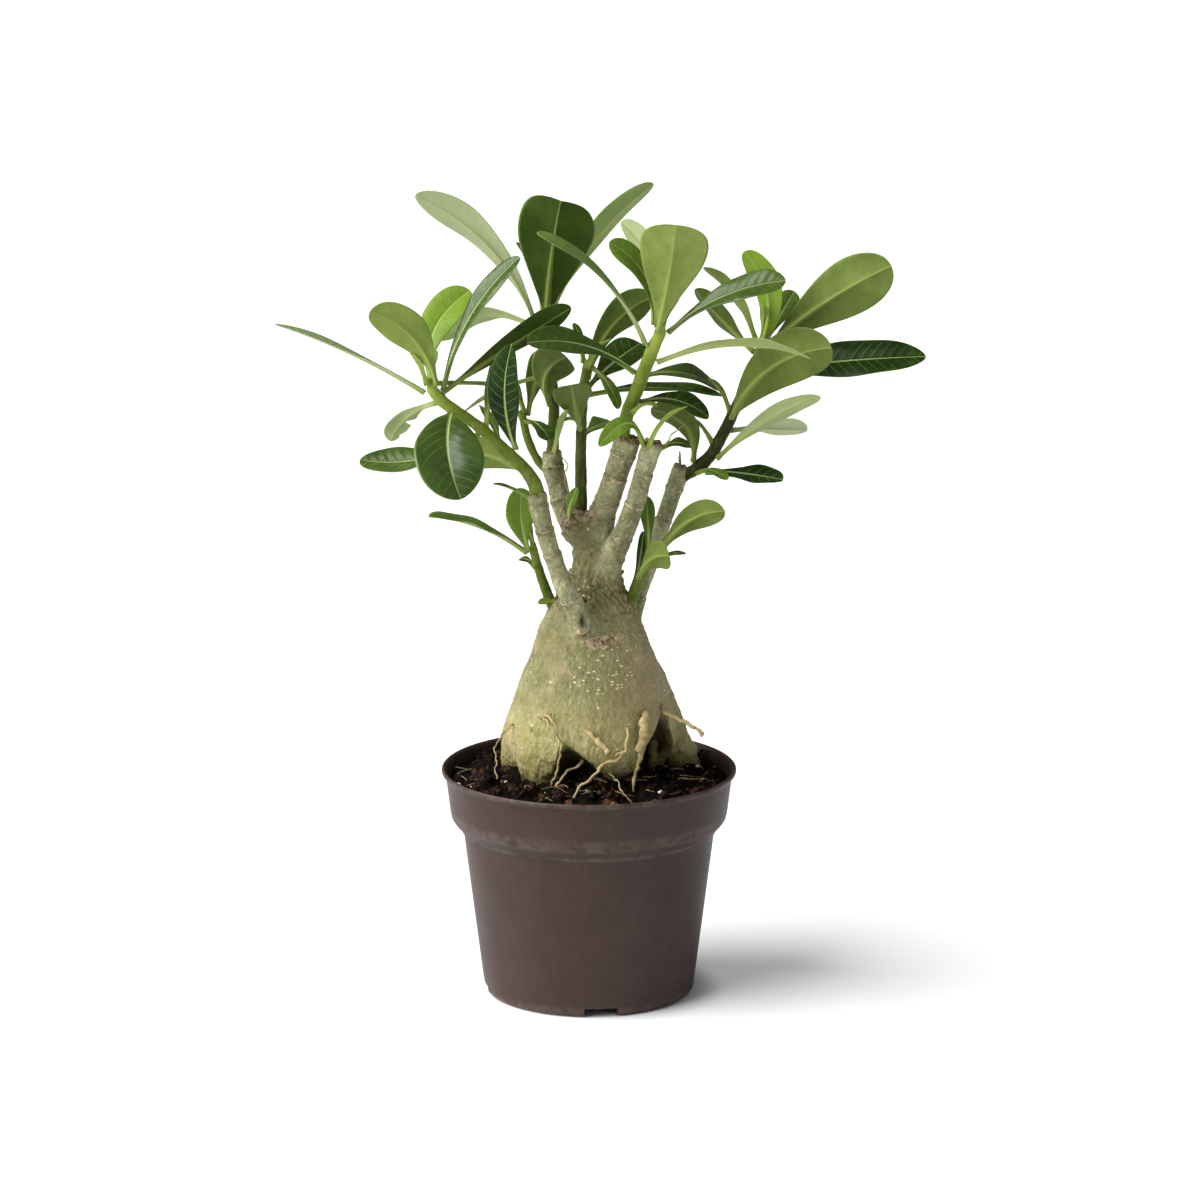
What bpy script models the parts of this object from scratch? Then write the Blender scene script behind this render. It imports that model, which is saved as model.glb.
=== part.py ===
"""Potted desert rose (adenium): a swollen trunk with cut-back branches and leafy shoots, in a nursery pot.

Blender 4.5. Metres, +Z up. The origin is the centre of the pot's underside, where it stands. X runs to the
plant's right and Y to its back. Lengths below are in millimetres, and MM turns them into metres.
"""

import math

import bmesh
import bpy
from mathutils import Matrix, Vector

MM = 0.001
UP = Vector((0, 0, 1))

GAP = 0.3  # between pieces that touch
CUT_GAP = 0.35  # how far a cutter stands outside the piece that it makes room for

# Pot: a 12 cm nursery pot, 94 mm tall, with a deep band below its rim.
RIM_R = 60.0
POT_H = 94.0
WALL = 1.2
FOOT_R = 43.0
BAND_R = 56.5
BAND_Z = 76.0
SHOULDER_R = 51.2
SHOULDER_Z = 68.0
FLOOR_Z = 5.2
RECESS_Z = 4.0  # underside of the floor between the foot ring and the central boss
BOSS_R = 10.5
FOOT_INNER_R = 37.5
POT_STEPS = 56
NOTCH_COUNT = 4
NOTCH_TURN = -83.2  # degrees from +X to the first notch
NOTCH_WIDTH = 14.0
NOTCH_H = 3.9
DRAIN_COUNT = 8
DRAIN_R = 26.0
DRAIN_SIZE = (10.0, 3.8)

# Soil: mounded from the wall up to the trunk.
SOIL_MOUND = [(0, 94.5), (26, 94.5), (34, 93.6), (42, 91.6), (50, 89.6), (56.4, 88.4)]
SOIL_STEPS = 40

# Trunk: turned about its own axis, which stands a little right of the pot's.
TRUNK_X = 1.3
TRUNK_STEPS = 28
TRUNK_PROFILE = [
    (0, 176), (9.4, 174), (12.0, 168.5), (15.8, 162.5), (19.4, 156.4), (22.2, 149.4), (25.0, 141.5),
    (27.6, 134.5), (29.8, 127), (32.0, 119), (33.6, 111), (33.8, 104.5), (31.6, 99), (26.0, 94.5),
    (16.0, 91), (0, 89),
]

# Woody limbs, each a list of (x, y, z, radius) from the trunk outwards. They grew with the trunk as one piece.
ROOT_LEGS = {
    "left": [(-15, 2, 122, 14), (-22, 3, 106, 12.8), (-25, 3, 94, 10.2), (-26, 3, 80, 7),
        (-26, 3, 69, 3.5)],
    "front": [(-9, -9, 120, 16), (-15.5, -14, 105, 13.4), (-19, -16, 94, 9.4), (-20, -17, 82, 6.4),
        (-20, -17, 70, 3)],
    "middle": [(6, -8, 118, 20), (8, -9, 105, 17.5), (9.5, -8, 94, 12.5), (10, -6, 82, 8),
        (10, -6, 69, 3.5)],
    "right": [(21, 6, 126, 11), (29, 8, 112, 8.8), (35, 9, 101, 7.6), (38.5, 10, 92, 6.8),
        (41, 10, 80, 4.6), (42, 10, 72, 3)],
    "back": [(4, 14, 118, 17), (5, 20, 104, 13.4), (6, 23, 93, 9.4), (6, 24, 80, 6.5), (6, 24, 70, 3.5)],
    "small": [(23, 4, 110, 3.2), (26.5, 3, 99, 2.6), (28, 3, 88, 2.3), (28, 3, 79, 1.6)],
}
BRANCHES = {
    "neck": [(1.5, 0, 150, 20), (1.7, 1, 163, 13.2), (2.9, 1, 172.5, 10.4), (2.1, 1, 181.6, 8.6),
        (1.3, 1, 188.2, 8.1), (-1, 0, 193, 8.8), (-2.2, 0, 198.4, 9.2)],
    "knob": [(3, -1, 190, 5), (-4, -2, 194.4, 6.4), (-9.4, -3, 196, 5)],
    "left_limb": [(2, -12, 147, 5.5), (-2.4, -19, 156.5, 4.8), (-6, -23, 166.8, 4.4),
        (-10.2, -26, 175.9, 3.8), (-13.8, -27, 186.3, 3.6), (-16.5, -28, 194.7, 3.6),
        (-19.1, -29, 205.2, 3.8), (-21, -30, 214.7, 4.1)],
    "middle_limb": [(1, 0, 189, 6.5), (3.7, -2, 193.9, 6.3), (5.7, -5, 201.1, 5.3),
        (8.9, -8, 210.8, 5), (11.7, -9, 220, 4.8), (14.1, -10, 227.6, 5.2), (15.7, -11, 233.5, 5.5)],
    "right_limb": [(1, 0, 170, 6), (6.5, -4, 176.1, 5.6), (10.1, -8, 184.9, 4.9),
        (14.9, -12, 196.1, 4.2), (18.9, -14, 208, 3.9), (21.7, -15, 218.4, 3.8), (24, -16, 226.8, 4),
        (26.4, -16, 232.5, 4)],
    "back_left_limb": [(-1, 2, 178, 6), (-4.4, 8, 184.6, 5.6), (-9.3, 12, 193.2, 5.2),
        (-11.7, 13, 202.2, 4.3), (-12.9, 14, 209.4, 4.2), (-14.5, 14, 215.2, 4.4),
        (-14.9, 15, 222.4, 3.8)],
    "back_right_limb": [(12, 7, 145, 4), (17.5, 10, 153.7, 3.5), (20.8, 13, 164.7, 3.4),
        (25.3, 15, 176.7, 3.3), (29.7, 17, 190.9, 3.4), (33.4, 18, 201.9, 3.4), (36.6, 18, 211.4, 3.7),
        (37.8, 18, 215.5, 3.4)],
}

# Green shoots, as (x, y, z, radius). Each starts inside its branch and is cut back to the bark.
SHOOTS = {
    "front_left": [(-20.4, -29.5, 212, 3.2), (-21.4, -31, 218, 3.1), (-25.4, -33, 224.6, 2.8),
        (-33.2, -35, 232.6, 2.6), (-43, -37, 242.3, 2.4), (-51.6, -39, 248.8, 2.5),
        (-57.9, -40, 253.6, 2.6), (-61.6, -41, 258.6, 2.2), (-63, -41.5, 262.5, 1.8)],
    "back_left": [(-14.8, 15, 219, 3), (-14.4, 15, 230.7, 2.6), (-14.1, 14, 243.3, 2.4),
        (-15.6, 13, 257.8, 2.2), (-17.6, 12, 270.3, 2.2), (-19.2, 12, 278, 1.9)],
    "small_back": [(-17, 16, 214, 2), (-21, 17, 218.5, 1.9), (-24.5, 17.5, 226, 1.8),
        (-27.5, 18, 238, 1.6)],
    "centre": [(-3.2, 0, 201, 2.8), (-3.2, 0, 217.3, 2.6), (-3.1, 0, 229.7, 2.4), (-2.7, 0, 242, 2.3),
        (-1.9, 0, 252.2, 2.2), (-0.4, 1, 262, 1.9)],
    "tall": [(13.6, -11, 230, 3), (14.2, -12, 238, 3), (16, -13.5, 245, 3), (20.4, -16, 256.5, 3),
        (24.3, -19, 268, 2.9), (27.4, -21, 275.2, 2.7), (29.2, -22, 281, 2.2)],
    "right": [(36.2, 18, 208.5, 2.4), (40, 17, 212, 2.6), (44.6, 15, 215.5, 2.8),
        (50.2, 12, 222.2, 2.7), (55, 10, 231.7, 2.6), (58.8, 9, 240, 2.5), (63.4, 9, 250.8, 2.3),
        (68, 9, 262, 2.2), (71, 9, 270, 1.8)],
    "low_right": [(14.6, -2, 160, 2.6), (17.6, -4, 166, 2.6), (20.4, -7, 173.5, 2.4),
        (23.8, -10, 181.6, 2.2), (26.6, -12, 188.4, 1.9)],
    "low_left": [(-13.2, -1, 158, 2.4), (-15.8, -2, 164, 2.4), (-18.1, -4, 171, 2.2),
        (-20.6, -6, 179, 2), (-22.6, -8, 188, 1.7)],
}

# Aerial roots that leave the trunk and reach the soil, as (x, y, z, radius).
AERIAL_ROOTS = {
    "left_loop": [(-18, -26, 122, 0.9), (-16, -33, 122.5, 0.9), (-13.4, -35.4, 119, 0.8),
        (-12, -34, 113, 0.8), (-11.4, -34, 107, 0.8), (-13, -32, 100, 0.8), (-15, -30, 93, 0.8),
        (-15.4, -29, 88, 0.8)],
    "front_low": [(-2, -22, 104, 1), (-4, -27, 101.5, 1), (-9, -30, 99, 0.9), (-13, -31.5, 95, 0.9),
        (-14, -32, 89, 0.9)],
    "middle": [(15, -27, 117, 1.1), (15.6, -35, 117, 1.1), (14.6, -37.4, 112, 1.1),
        (12, -36.5, 107, 1.1), (7, -36, 104.5, 1.1), (2, -37, 100, 1), (-4, -38.5, 95, 1),
        (-8, -39, 89, 1)],
    "thick_right": [(22.5, -20, 122, 1.8), (22.5, -27.6, 120, 1.8), (22, -30, 114, 1.7),
        (20.6, -31, 107, 1.4), (18.6, -31, 99, 1.1), (17.4, -31, 89, 1)],
}

# Leaves by the shoot or branch that carries them: place along it from 0 to 1, tip, width, arch of the midrib towards
# the upper side, sideways sweep, and roll about the leaf's own length in degrees.
LEAVES = {
    "front_left": [
        (0.95, (-123, -44, 285), 13, 2, 0, 10),
        (0.97, (-85, -58, 293), 17, 2, -5, 45),
        (0.98, (-47, -14, 293), 16, 3, -6, 15),
        (0.90, (-27, -34, 310), 13, 4, -3, 20),
        (0.88, (-7, -18, 287), 13, 1, 0, -60),
        (0.86, (-79, -18, 233), 10, 2, -2, 50),
        (0.77, (-50, -68, 220), 28, 3, 3, -40),
        (0.56, (-91, -26, 227), 15, -4, -3, -10),
        (0.18, (-53, -12, 228), 14, 2, -1, 105),
        (0.34, (-30, -47, 278), 19, 2, -3, 70),
    ],
    "back_left": [
        (0.96, (-11, -20, 330), 31, 2, 1, -30),
        (0.95, (-69, 2, 329), 15, 5, -6, 40),
        (0.98, (26, 24, 330), 14, 4, 3, -55),
        (0.93, (-61, 30, 265), 16, 7, -2, 30),
        (0.40, (-9, -12, 266), 17, 1, 5, -25),
    ],
    "small_back": [
        (0.92, (-17, 26, 262), 12, 1, 0, -75),
        (0.85, (-16, 7, 228), 9, 2, 0, -5),
    ],
    "centre": [
        (0.56, (-7, -30, 258), 15, 1, 0, 20),
        (0.88, (26, 8, 287), 15, 4, 4, -65),
        (0.84, (21, 22, 265), 17, 2, 0, 25),
        (0.78, (54, 14, 245), 14, 2, -2, 10),
    ],
    "tall": [
        (0.58, (-24, -36, 276), 14, 3, 4, -20),
        (0.96, (34, -48, 325), 27, 2, -1, 10),
        (0.98, (8, -24, 314), 12, 4, 4, -30),
        (0.98, (13, 8, 317), 11, 3, -5, 95),
        (0.83, (-20, -54, 323), 10, 6, 0, -10),
        (0.95, (78, -20, 298), 14, 3, -3, 20),
        (0.72, (87, -42, 271), 14, 6, 1, -35),
        (0.56, (54, 30, 244), 14, 3, -2, 20),
        (0.36, (48, -6, 240), 13, 3, -2, 15),
    ],
    "right": [
        (0.53, (96, -30, 273), 22, 1, 7, -60),
        (0.97, (120, -14, 303), 22, 2, 2, -75),
        (0.98, (62, 2, 306), 13, 3, -5, 35),
        (0.97, (46, 6, 299), 12, 3, -1, 30),
        (0.90, (43, 24, 287), 13, 1, 2, 60),
        (0.81, (135, -2, 264), 18, 2, 0, 45),
        (0.29, (92, -18, 251), 10, 2, 2, -40),
        (0.44, (89, 32, 227), 10, 1, 0, -60),
        (0.18, (78, -4, 214), 12, 1, 0, 25),
        (0.17, (25, 2, 242), 14, 3, -6, 60),
    ],
    "low_right": [
        (0.97, (54, -30, 207), 12, 2, 4, -65),
        (0.58, (32, -32, 189), 12, 1, 3, -55),
    ],
    "low_left": [
        (0.94, (-64, -18, 202), 11, 3, 1, 0),
        (0.97, (-27, -14, 213), 13, 1, -2, -145),
    ],
    "right_limb": [
        (0.97, (4, -38, 235), 7, 8, 4, -25),
    ],
}
LEAF_STALK_R = 0.9
LEAF_THICK = 1.0
LEAF_FOLD = 0.22  # rise of each half of the blade towards its edge, as a part of its width
LEAF_RINGS = 8
OUTLINE_BASE = 1.5  # how slowly the blade widens from its stalk
OUTLINE_TIP = 0.55  # how bluntly it ends

GREEN = (0.13, 0.25, 0.07)
YOUNG_GREEN = (0.28, 0.36, 0.12)
BARK = (0.42, 0.41, 0.26)
ROOT_TAN = (0.60, 0.52, 0.33)
SOIL_BROWN = (0.035, 0.022, 0.015)
POT_BROWN = (0.085, 0.062, 0.052)


def clear_scene():
    for old in list(bpy.data.objects):
        bpy.data.objects.remove(old, do_unlink=True)


def new_collection(name):
    made = bpy.data.collections.new(name)
    bpy.context.scene.collection.children.link(made)
    return made


def material(name, colour, roughness):
    made = bpy.data.materials.new(name)
    made.use_nodes = True
    shader = made.node_tree.nodes["Principled BSDF"]
    shader.inputs["Base Color"].default_value = (*colour, 1.0)
    shader.inputs["Roughness"].default_value = roughness
    shader.inputs["Metallic"].default_value = 0.0
    return made


def object_from_bmesh(bm, name):
    bmesh.ops.recalc_face_normals(bm, faces=bm.faces)
    mesh = bpy.data.meshes.new(name)
    bm.to_mesh(mesh)
    bm.free()
    mesh.shade_smooth()
    made = bpy.data.objects.new(name, mesh)
    bpy.context.scene.collection.objects.link(made)
    return made


def finished(source, name):
    """A plain mesh object with the source's evaluated shape; the source and its modifiers are removed."""
    bpy.context.view_layer.update()
    depsgraph = bpy.context.evaluated_depsgraph_get()
    mesh = bpy.data.meshes.new_from_object(source.evaluated_get(depsgraph))
    bm = bmesh.new()
    bm.from_mesh(mesh)
    bmesh.ops.transform(bm, matrix=source.matrix_world, verts=bm.verts)
    bmesh.ops.remove_doubles(bm, verts=bm.verts, dist=0.01 * MM)
    bpy.data.objects.remove(source, do_unlink=True)
    return object_from_bmesh(bm, name)


def turned(name, profile, steps, centre_x=0.0):
    """A solid turned about a vertical axis: a profile of (radius, height) with both ends on the axis."""
    mesh = bpy.data.meshes.new(name)
    points = [(r * MM, 0, z * MM) for r, z in profile]
    mesh.from_pydata(points, [(i, i + 1) for i in range(len(points) - 1)], [])
    made = bpy.data.objects.new(name, mesh)
    made.location.x = centre_x * MM
    bpy.context.scene.collection.objects.link(made)
    screw = made.modifiers.new("Turn", "SCREW")
    screw.steps = steps
    screw.render_steps = steps
    screw.use_merge_vertices = True
    screw.merge_threshold = 0.00001
    return finished(made, name)


def smooth_path(points, spans):
    """Catmull-Rom curve through (x, y, z, radius) points, with the given number of steps between neighbours."""
    ends = [Vector(p) for p in points]
    ends = [2 * ends[0] - ends[1]] + ends + [2 * ends[-1] - ends[-2]]
    path = []
    for a, b, c, d in zip(ends, ends[1:], ends[2:], ends[3:]):
        for step in range(spans):
            t = step / spans
            path.append(0.5 * (2 * b + (c - a) * t + (2 * a - 5 * b + 4 * c - d) * t * t
                               + (3 * b - a - 3 * c + d) * t ** 3))
    path.append(ends[-2])
    return path


def along_path(path, place):
    """Point, direction and radius at a part of the path's length, from 0 to 1."""
    steps = [(b - a).to_3d().length for a, b in zip(path, path[1:])]
    left = place * sum(steps)
    for a, b, step in zip(path, path[1:], steps):
        if left <= step:
            break
        left -= step
    knot = a.lerp(b, left / step)
    return Vector(knot[:3]), Vector((b - a)[:3]).normalized(), knot[3]


def limb(name, points, spans=1, grow=0.0, resolution=3):
    """A round limb along a path whose thickness changes; grow adds to its radius and to both ends."""
    path = smooth_path(points, spans)
    data = bpy.data.curves.new(name, "CURVE")
    data.dimensions = "3D"
    data.bevel_depth = MM
    data.bevel_resolution = resolution
    data.use_fill_caps = True
    places = [Vector(p[:3]) for p in path]
    if grow:
        places[0] = places[0] + grow * (places[0] - places[1]).normalized()
        places[-1] = places[-1] + grow * (places[-1] - places[-2]).normalized()
    spline = data.splines.new("POLY")
    spline.points.add(len(path) - 1)
    for knot, place, p in zip(spline.points, places, path):
        knot.co = (*(place * MM), 1)
        knot.radius = p[3] + grow
    made = bpy.data.objects.new(name, data)
    bpy.context.scene.collection.objects.link(made)
    return finished(made, name)


def combined(base, tools, operation, name):
    """The base mesh with every tool mesh joined to it or cut from it."""
    for tool in tools:
        boolean = base.modifiers.new(operation.title(), "BOOLEAN")
        boolean.operation = operation
        boolean.solver = "EXACT"
        boolean.object = tool
    return finished(base, name)


def remove(objects):
    for made in objects:
        bpy.data.objects.remove(made, do_unlink=True)


def blocks(name, boxes):
    """Separate boxes as one cutter, each (size, distance from the axis, turn in degrees, middle height)."""
    bm = bmesh.new()
    for size, distance, turn, height in boxes:
        place = (Matrix.Rotation(math.radians(turn), 4, "Z") @ Matrix.Translation((distance * MM, 0, height * MM))
                 @ Matrix.Diagonal((*(Vector(size) * MM), 1)))
        bmesh.ops.create_cube(bm, size=1, matrix=place)
    return object_from_bmesh(bm, name)


def pot(cutters):
    outside = [
        (RIM_R - 0.6, POT_H), (RIM_R, POT_H - 0.6), (RIM_R, POT_H - 1.8), (RIM_R - 1.4, POT_H - 2.9),
        (RIM_R - 1.8, POT_H - 4), (BAND_R, BAND_Z), (BAND_R - 0.5, BAND_Z - 2.4), (BAND_R - 1.9, BAND_Z - 4.4),
        (SHOULDER_R + 0.4, SHOULDER_Z + 1), (SHOULDER_R, SHOULDER_Z), (FOOT_R, 2.1), (FOOT_R - 1.1, 0.6),
        (FOOT_R - 2.6, 0), (FOOT_INNER_R, 0), (FOOT_INNER_R, RECESS_Z), (BOSS_R, RECESS_Z), (BOSS_R, 0), (0, 0),
    ]
    inside = [
        (0, FLOOR_Z), (FOOT_R - 2.6, FLOOR_Z), (FOOT_R - 1.6, FLOOR_Z + 1.2), (SHOULDER_R - WALL, SHOULDER_Z + 0.2),
        (SHOULDER_R - 0.8, SHOULDER_Z + 1.8), (BAND_R - 2.1, BAND_Z - 2.4), (BAND_R - WALL, BAND_Z + 0.4),
        (RIM_R - 2.9, POT_H - 4), (RIM_R - 2.1, POT_H - 1.4), (RIM_R - 1.4, POT_H - 0.4),
    ]
    shell = turned("pot_blank", inside + outside, POT_STEPS)
    notches = [((12, NOTCH_WIDTH, NOTCH_H + 2), FOOT_R - 1, NOTCH_TURN + 360 / NOTCH_COUNT * n, NOTCH_H / 2 - 1)
               for n in range(NOTCH_COUNT)]
    drains = [((*DRAIN_SIZE, 6), DRAIN_R, NOTCH_TURN + 360 / DRAIN_COUNT * (n + 0.5), FLOOR_Z)
              for n in range(DRAIN_COUNT)]
    cutter = blocks("pot_cutter", notches + drains)
    shell = combined(shell, [cutter], "DIFFERENCE", "pot")
    keep_cutter(cutter, cutters)
    return shell


def keep_cutter(cutter, collection):
    cutter.hide_render = True
    cutter.display_type = "WIRE"
    for old in list(cutter.users_collection):
        old.objects.unlink(cutter)
    collection.objects.link(cutter)


def woody(name, grow=0.0):
    """The trunk, its root legs and its branches as one solid; grow makes the larger copy that cuts its neighbours."""
    profile = [(r + grow if r else 0, z) for r, z in TRUNK_PROFILE]
    profile[0] = (0, TRUNK_PROFILE[0][1] + grow)
    profile[-1] = (0, TRUNK_PROFILE[-1][1] - grow)
    trunk = turned(name + "_trunk", profile, TRUNK_STEPS, TRUNK_X)
    limbs = [limb(name + "_" + key, points, 1, grow) for key, points in (ROOT_LEGS | BRANCHES).items()]
    made = combined(trunk, limbs, "UNION", name)
    remove(limbs)
    return made


def soil_profile(grow=0.0):
    wall = FOOT_R - 1.6 - GAP
    inner_wall = [
        (SHOULDER_R - WALL - GAP, SHOULDER_Z + 0.2), (SHOULDER_R - 0.8 - GAP, SHOULDER_Z + 2.1),
        (BAND_R - 2.1 - GAP, BAND_Z - 2.1), (BAND_R - WALL - GAP, BAND_Z + 0.6),
    ]
    mound = [(r, z + grow) for r, z in SOIL_MOUND]
    return mound + inner_wall[::-1] + [(wall, FLOOR_Z + 1.2 + GAP), (wall - 1, FLOOR_Z + GAP), (0, FLOOR_Z + GAP)]


def leaf_outline(s):
    """Half width of the blade from 0 to 1 at the part s of its length: narrow stalk, widest past the middle."""
    widest = OUTLINE_BASE / (OUTLINE_BASE + OUTLINE_TIP)
    return (s / widest) ** OUTLINE_BASE * ((1 - s) / (1 - widest)) ** OUTLINE_TIP


def leaf(name, carrier, place, tip, width, arch, sweep, roll):
    """A solid leaf: a loft of eight-point rings along an arched midrib, folded up a little along it."""
    centre, stem_dir, stem_r = along_path(smooth_path(carrier, 6), place)
    tip = Vector(tip)
    along = (tip - centre).normalized()
    upper = stem_dir + 0.5 * UP
    upper = (upper - upper.dot(along) * along).normalized()
    upper = Matrix.Rotation(math.radians(roll), 3, along) @ upper
    side = along.cross(upper)
    length = (tip - centre).length
    start = (along + (4 * arch * upper + 4 * sweep * side) / length).normalized()
    outward = (start - start.dot(stem_dir) * stem_dir).normalized()
    base = centre + outward * (stem_r + GAP + 0.1 + LEAF_STALK_R * abs(start.dot(stem_dir)))
    chord = tip - base

    def midrib(s):
        return base + chord * s + (upper * arch + side * sweep) * (4 * s * (1 - s))

    bm = bmesh.new()
    rings = []
    for n in range(1, LEAF_RINGS + 1):
        s = 0.5 - 0.5 * math.cos(math.pi * (n - 0.75) / (LEAF_RINGS + 0.15))
        middle = midrib(s)
        heading = (midrib(s + 0.01) - midrib(s - 0.01)).normalized()
        across = heading.cross(upper).normalized()
        top = across.cross(heading)
        half = max(LEAF_STALK_R, width / 2 * leaf_outline(s))
        rise = LEAF_FOLD * (half - LEAF_STALK_R)
        thick = LEAF_THICK * (1 - 0.45 * s)
        ring = [(-1, rise), (-0.5, rise / 2 + thick / 2), (0, thick * 0.4), (0.5, rise / 2 + thick / 2), (1, rise),
                (0.5, rise / 2 - thick / 2), (0, -thick * 0.8), (-0.5, rise / 2 - thick / 2)]
        rings.append([bm.verts.new((middle + across * half * u + top * v) * MM) for u, v in ring])
    first = bm.verts.new(base * MM)
    last = bm.verts.new(tip * MM)
    for n in range(8):
        m = (n + 1) % 8
        bm.faces.new((first, rings[0][n], rings[0][m]))
        bm.faces.new((last, rings[-1][m], rings[-1][n]))
        for low, high in zip(rings, rings[1:]):
            bm.faces.new((low[n], high[n], high[m], low[m]))
    return object_from_bmesh(bm, name)


def place_piece(piece, collection, finish):
    for old in list(piece.users_collection):
        old.objects.unlink(piece)
    collection.objects.link(piece)
    piece.data.materials.clear()
    piece.data.materials.append(finish)


def build():
    clear_scene()
    plant = new_collection("potted_desert_rose")
    cutters = new_collection("cutters")
    place_piece(pot(cutters), plant, material("pot_plastic", POT_BROWN, 0.45))
    place_piece(woody("caudex"), plant, material("bark", BARK, 0.6))

    bark_cutter = woody("bark_cutter", CUT_GAP)
    soil_cutter = turned("soil_cutter", soil_profile(CUT_GAP), SOIL_STEPS)
    soil = turned("soil_blank", soil_profile(), SOIL_STEPS)
    place_piece(combined(soil, [bark_cutter], "DIFFERENCE", "soil"), plant, material("soil", SOIL_BROWN, 0.95))
    for key, points in SHOOTS.items():
        shoot = limb("shoot_blank", points, 1, 0, 2)
        shoot = combined(shoot, [bark_cutter], "DIFFERENCE", "shoot_" + key)
        place_piece(shoot, plant, material("shoot_" + key, YOUNG_GREEN, 0.5))
    for key, points in AERIAL_ROOTS.items():
        root = limb("root_blank", points, 2, 0, 2)
        root = combined(root, [bark_cutter, soil_cutter], "DIFFERENCE", "aerial_root_" + key)
        place_piece(root, plant, material("aerial_root_" + key, ROOT_TAN, 0.7))
    for key, rows in LEAVES.items():
        carrier = (SHOOTS | BRANCHES)[key]
        for number, row in enumerate(rows, 1):
            name = f"leaf_{key}_{number:02d}"
            place_piece(leaf(name, carrier, *row), plant, material(name, GREEN, 0.4))
    keep_cutter(bark_cutter, cutters)
    keep_cutter(soil_cutter, cutters)


build()
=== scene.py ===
"""Looks of a potted desert rose (adenium): swollen trunk, cut-back branches and leafy shoots in a pot.

The construction's solids load as a fixed frame, and each is replaced by a fine surface in the same place.
Lengths are in millimetres, as in the construction, and MM turns them into metres. X runs to the plant's
right, Y to its back and Z up. The origin is the centre of the pot's underside.
"""

import bmesh
import bpy
import numpy as np
from mathutils import Matrix, Vector


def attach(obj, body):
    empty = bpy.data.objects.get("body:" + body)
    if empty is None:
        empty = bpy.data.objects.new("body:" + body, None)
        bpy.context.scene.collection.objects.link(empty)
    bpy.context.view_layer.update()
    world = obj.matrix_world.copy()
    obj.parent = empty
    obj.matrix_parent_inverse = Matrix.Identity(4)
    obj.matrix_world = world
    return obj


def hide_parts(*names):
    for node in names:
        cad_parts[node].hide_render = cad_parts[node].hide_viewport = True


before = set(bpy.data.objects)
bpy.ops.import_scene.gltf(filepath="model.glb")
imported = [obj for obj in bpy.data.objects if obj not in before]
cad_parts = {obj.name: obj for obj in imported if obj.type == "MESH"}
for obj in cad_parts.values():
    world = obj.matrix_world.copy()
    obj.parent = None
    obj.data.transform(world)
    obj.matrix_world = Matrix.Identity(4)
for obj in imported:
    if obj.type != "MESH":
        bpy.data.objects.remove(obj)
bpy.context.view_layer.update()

MM = 0.001
UP = np.array([0.0, 0.0, 1.0])

# Pot, turned about the vertical axis, with the same sizes as its solid.
RIM_R = 60.0
POT_H = 94.0
WALL = 1.2
FOOT_R = 43.0
BAND_R = 56.5
BAND_Z = 76.0
SHOULDER_R = 51.2
SHOULDER_Z = 68.0
FLOOR_Z = 5.2
RECESS_Z = 4.0
BOSS_R = 10.5
FOOT_INNER_R = 37.5
NOTCH_COUNT = 4
NOTCH_TURN = -83.2
NOTCH_WIDTH = 14.0
NOTCH_H = 3.9
DRAIN_COUNT = 8
DRAIN_R = 26.0
DRAIN_SIZE = (10.0, 3.8, 6.0)
POT_SIDES = 240
SOIL_SIDES = 280

SOIL_MOUND = [(0, 94.5), (26, 94.5), (34, 93.6), (42, 91.6), (50, 89.6), (56.4, 88.4)]

# Woody trunk, turned about its own axis, and the limbs that grew with it, each point as (x, y, z, radius).
TRUNK_X = 1.3
TRUNK_PROFILE = [
    (0, 176), (9.4, 174), (12.0, 168.5), (15.8, 162.5), (19.4, 156.4), (22.2, 149.4), (25.0, 141.5),
    (27.6, 134.5), (29.8, 127), (32.0, 119), (33.6, 111), (33.8, 104.5), (31.6, 99), (26.0, 94.5),
    (16.0, 91), (0, 89),
]

ROOT_LEGS = {
    "left": [(-15, 2, 122, 14), (-22, 3, 106, 12.8), (-25, 3, 94, 10.2), (-26, 3, 80, 7),
        (-26, 3, 69, 3.5)],
    "front": [(-9, -9, 120, 16), (-15.5, -14, 105, 13.4), (-19, -16, 94, 9.4), (-20, -17, 82, 6.4),
        (-20, -17, 70, 3)],
    "middle": [(6, -8, 118, 20), (8, -9, 105, 17.5), (9.5, -8, 94, 12.5), (10, -6, 82, 8),
        (10, -6, 69, 3.5)],
    "right": [(21, 6, 126, 11), (29, 8, 112, 8.8), (35, 9, 101, 7.6), (38.5, 10, 92, 6.8),
        (41, 10, 80, 4.6), (42, 10, 72, 3)],
    "back": [(4, 14, 118, 17), (5, 20, 104, 13.4), (6, 23, 93, 9.4), (6, 24, 80, 6.5), (6, 24, 70, 3.5)],
    "small": [(23, 4, 110, 3.2), (26.5, 3, 99, 2.6), (28, 3, 88, 2.3), (28, 3, 79, 1.6)],
}

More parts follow.
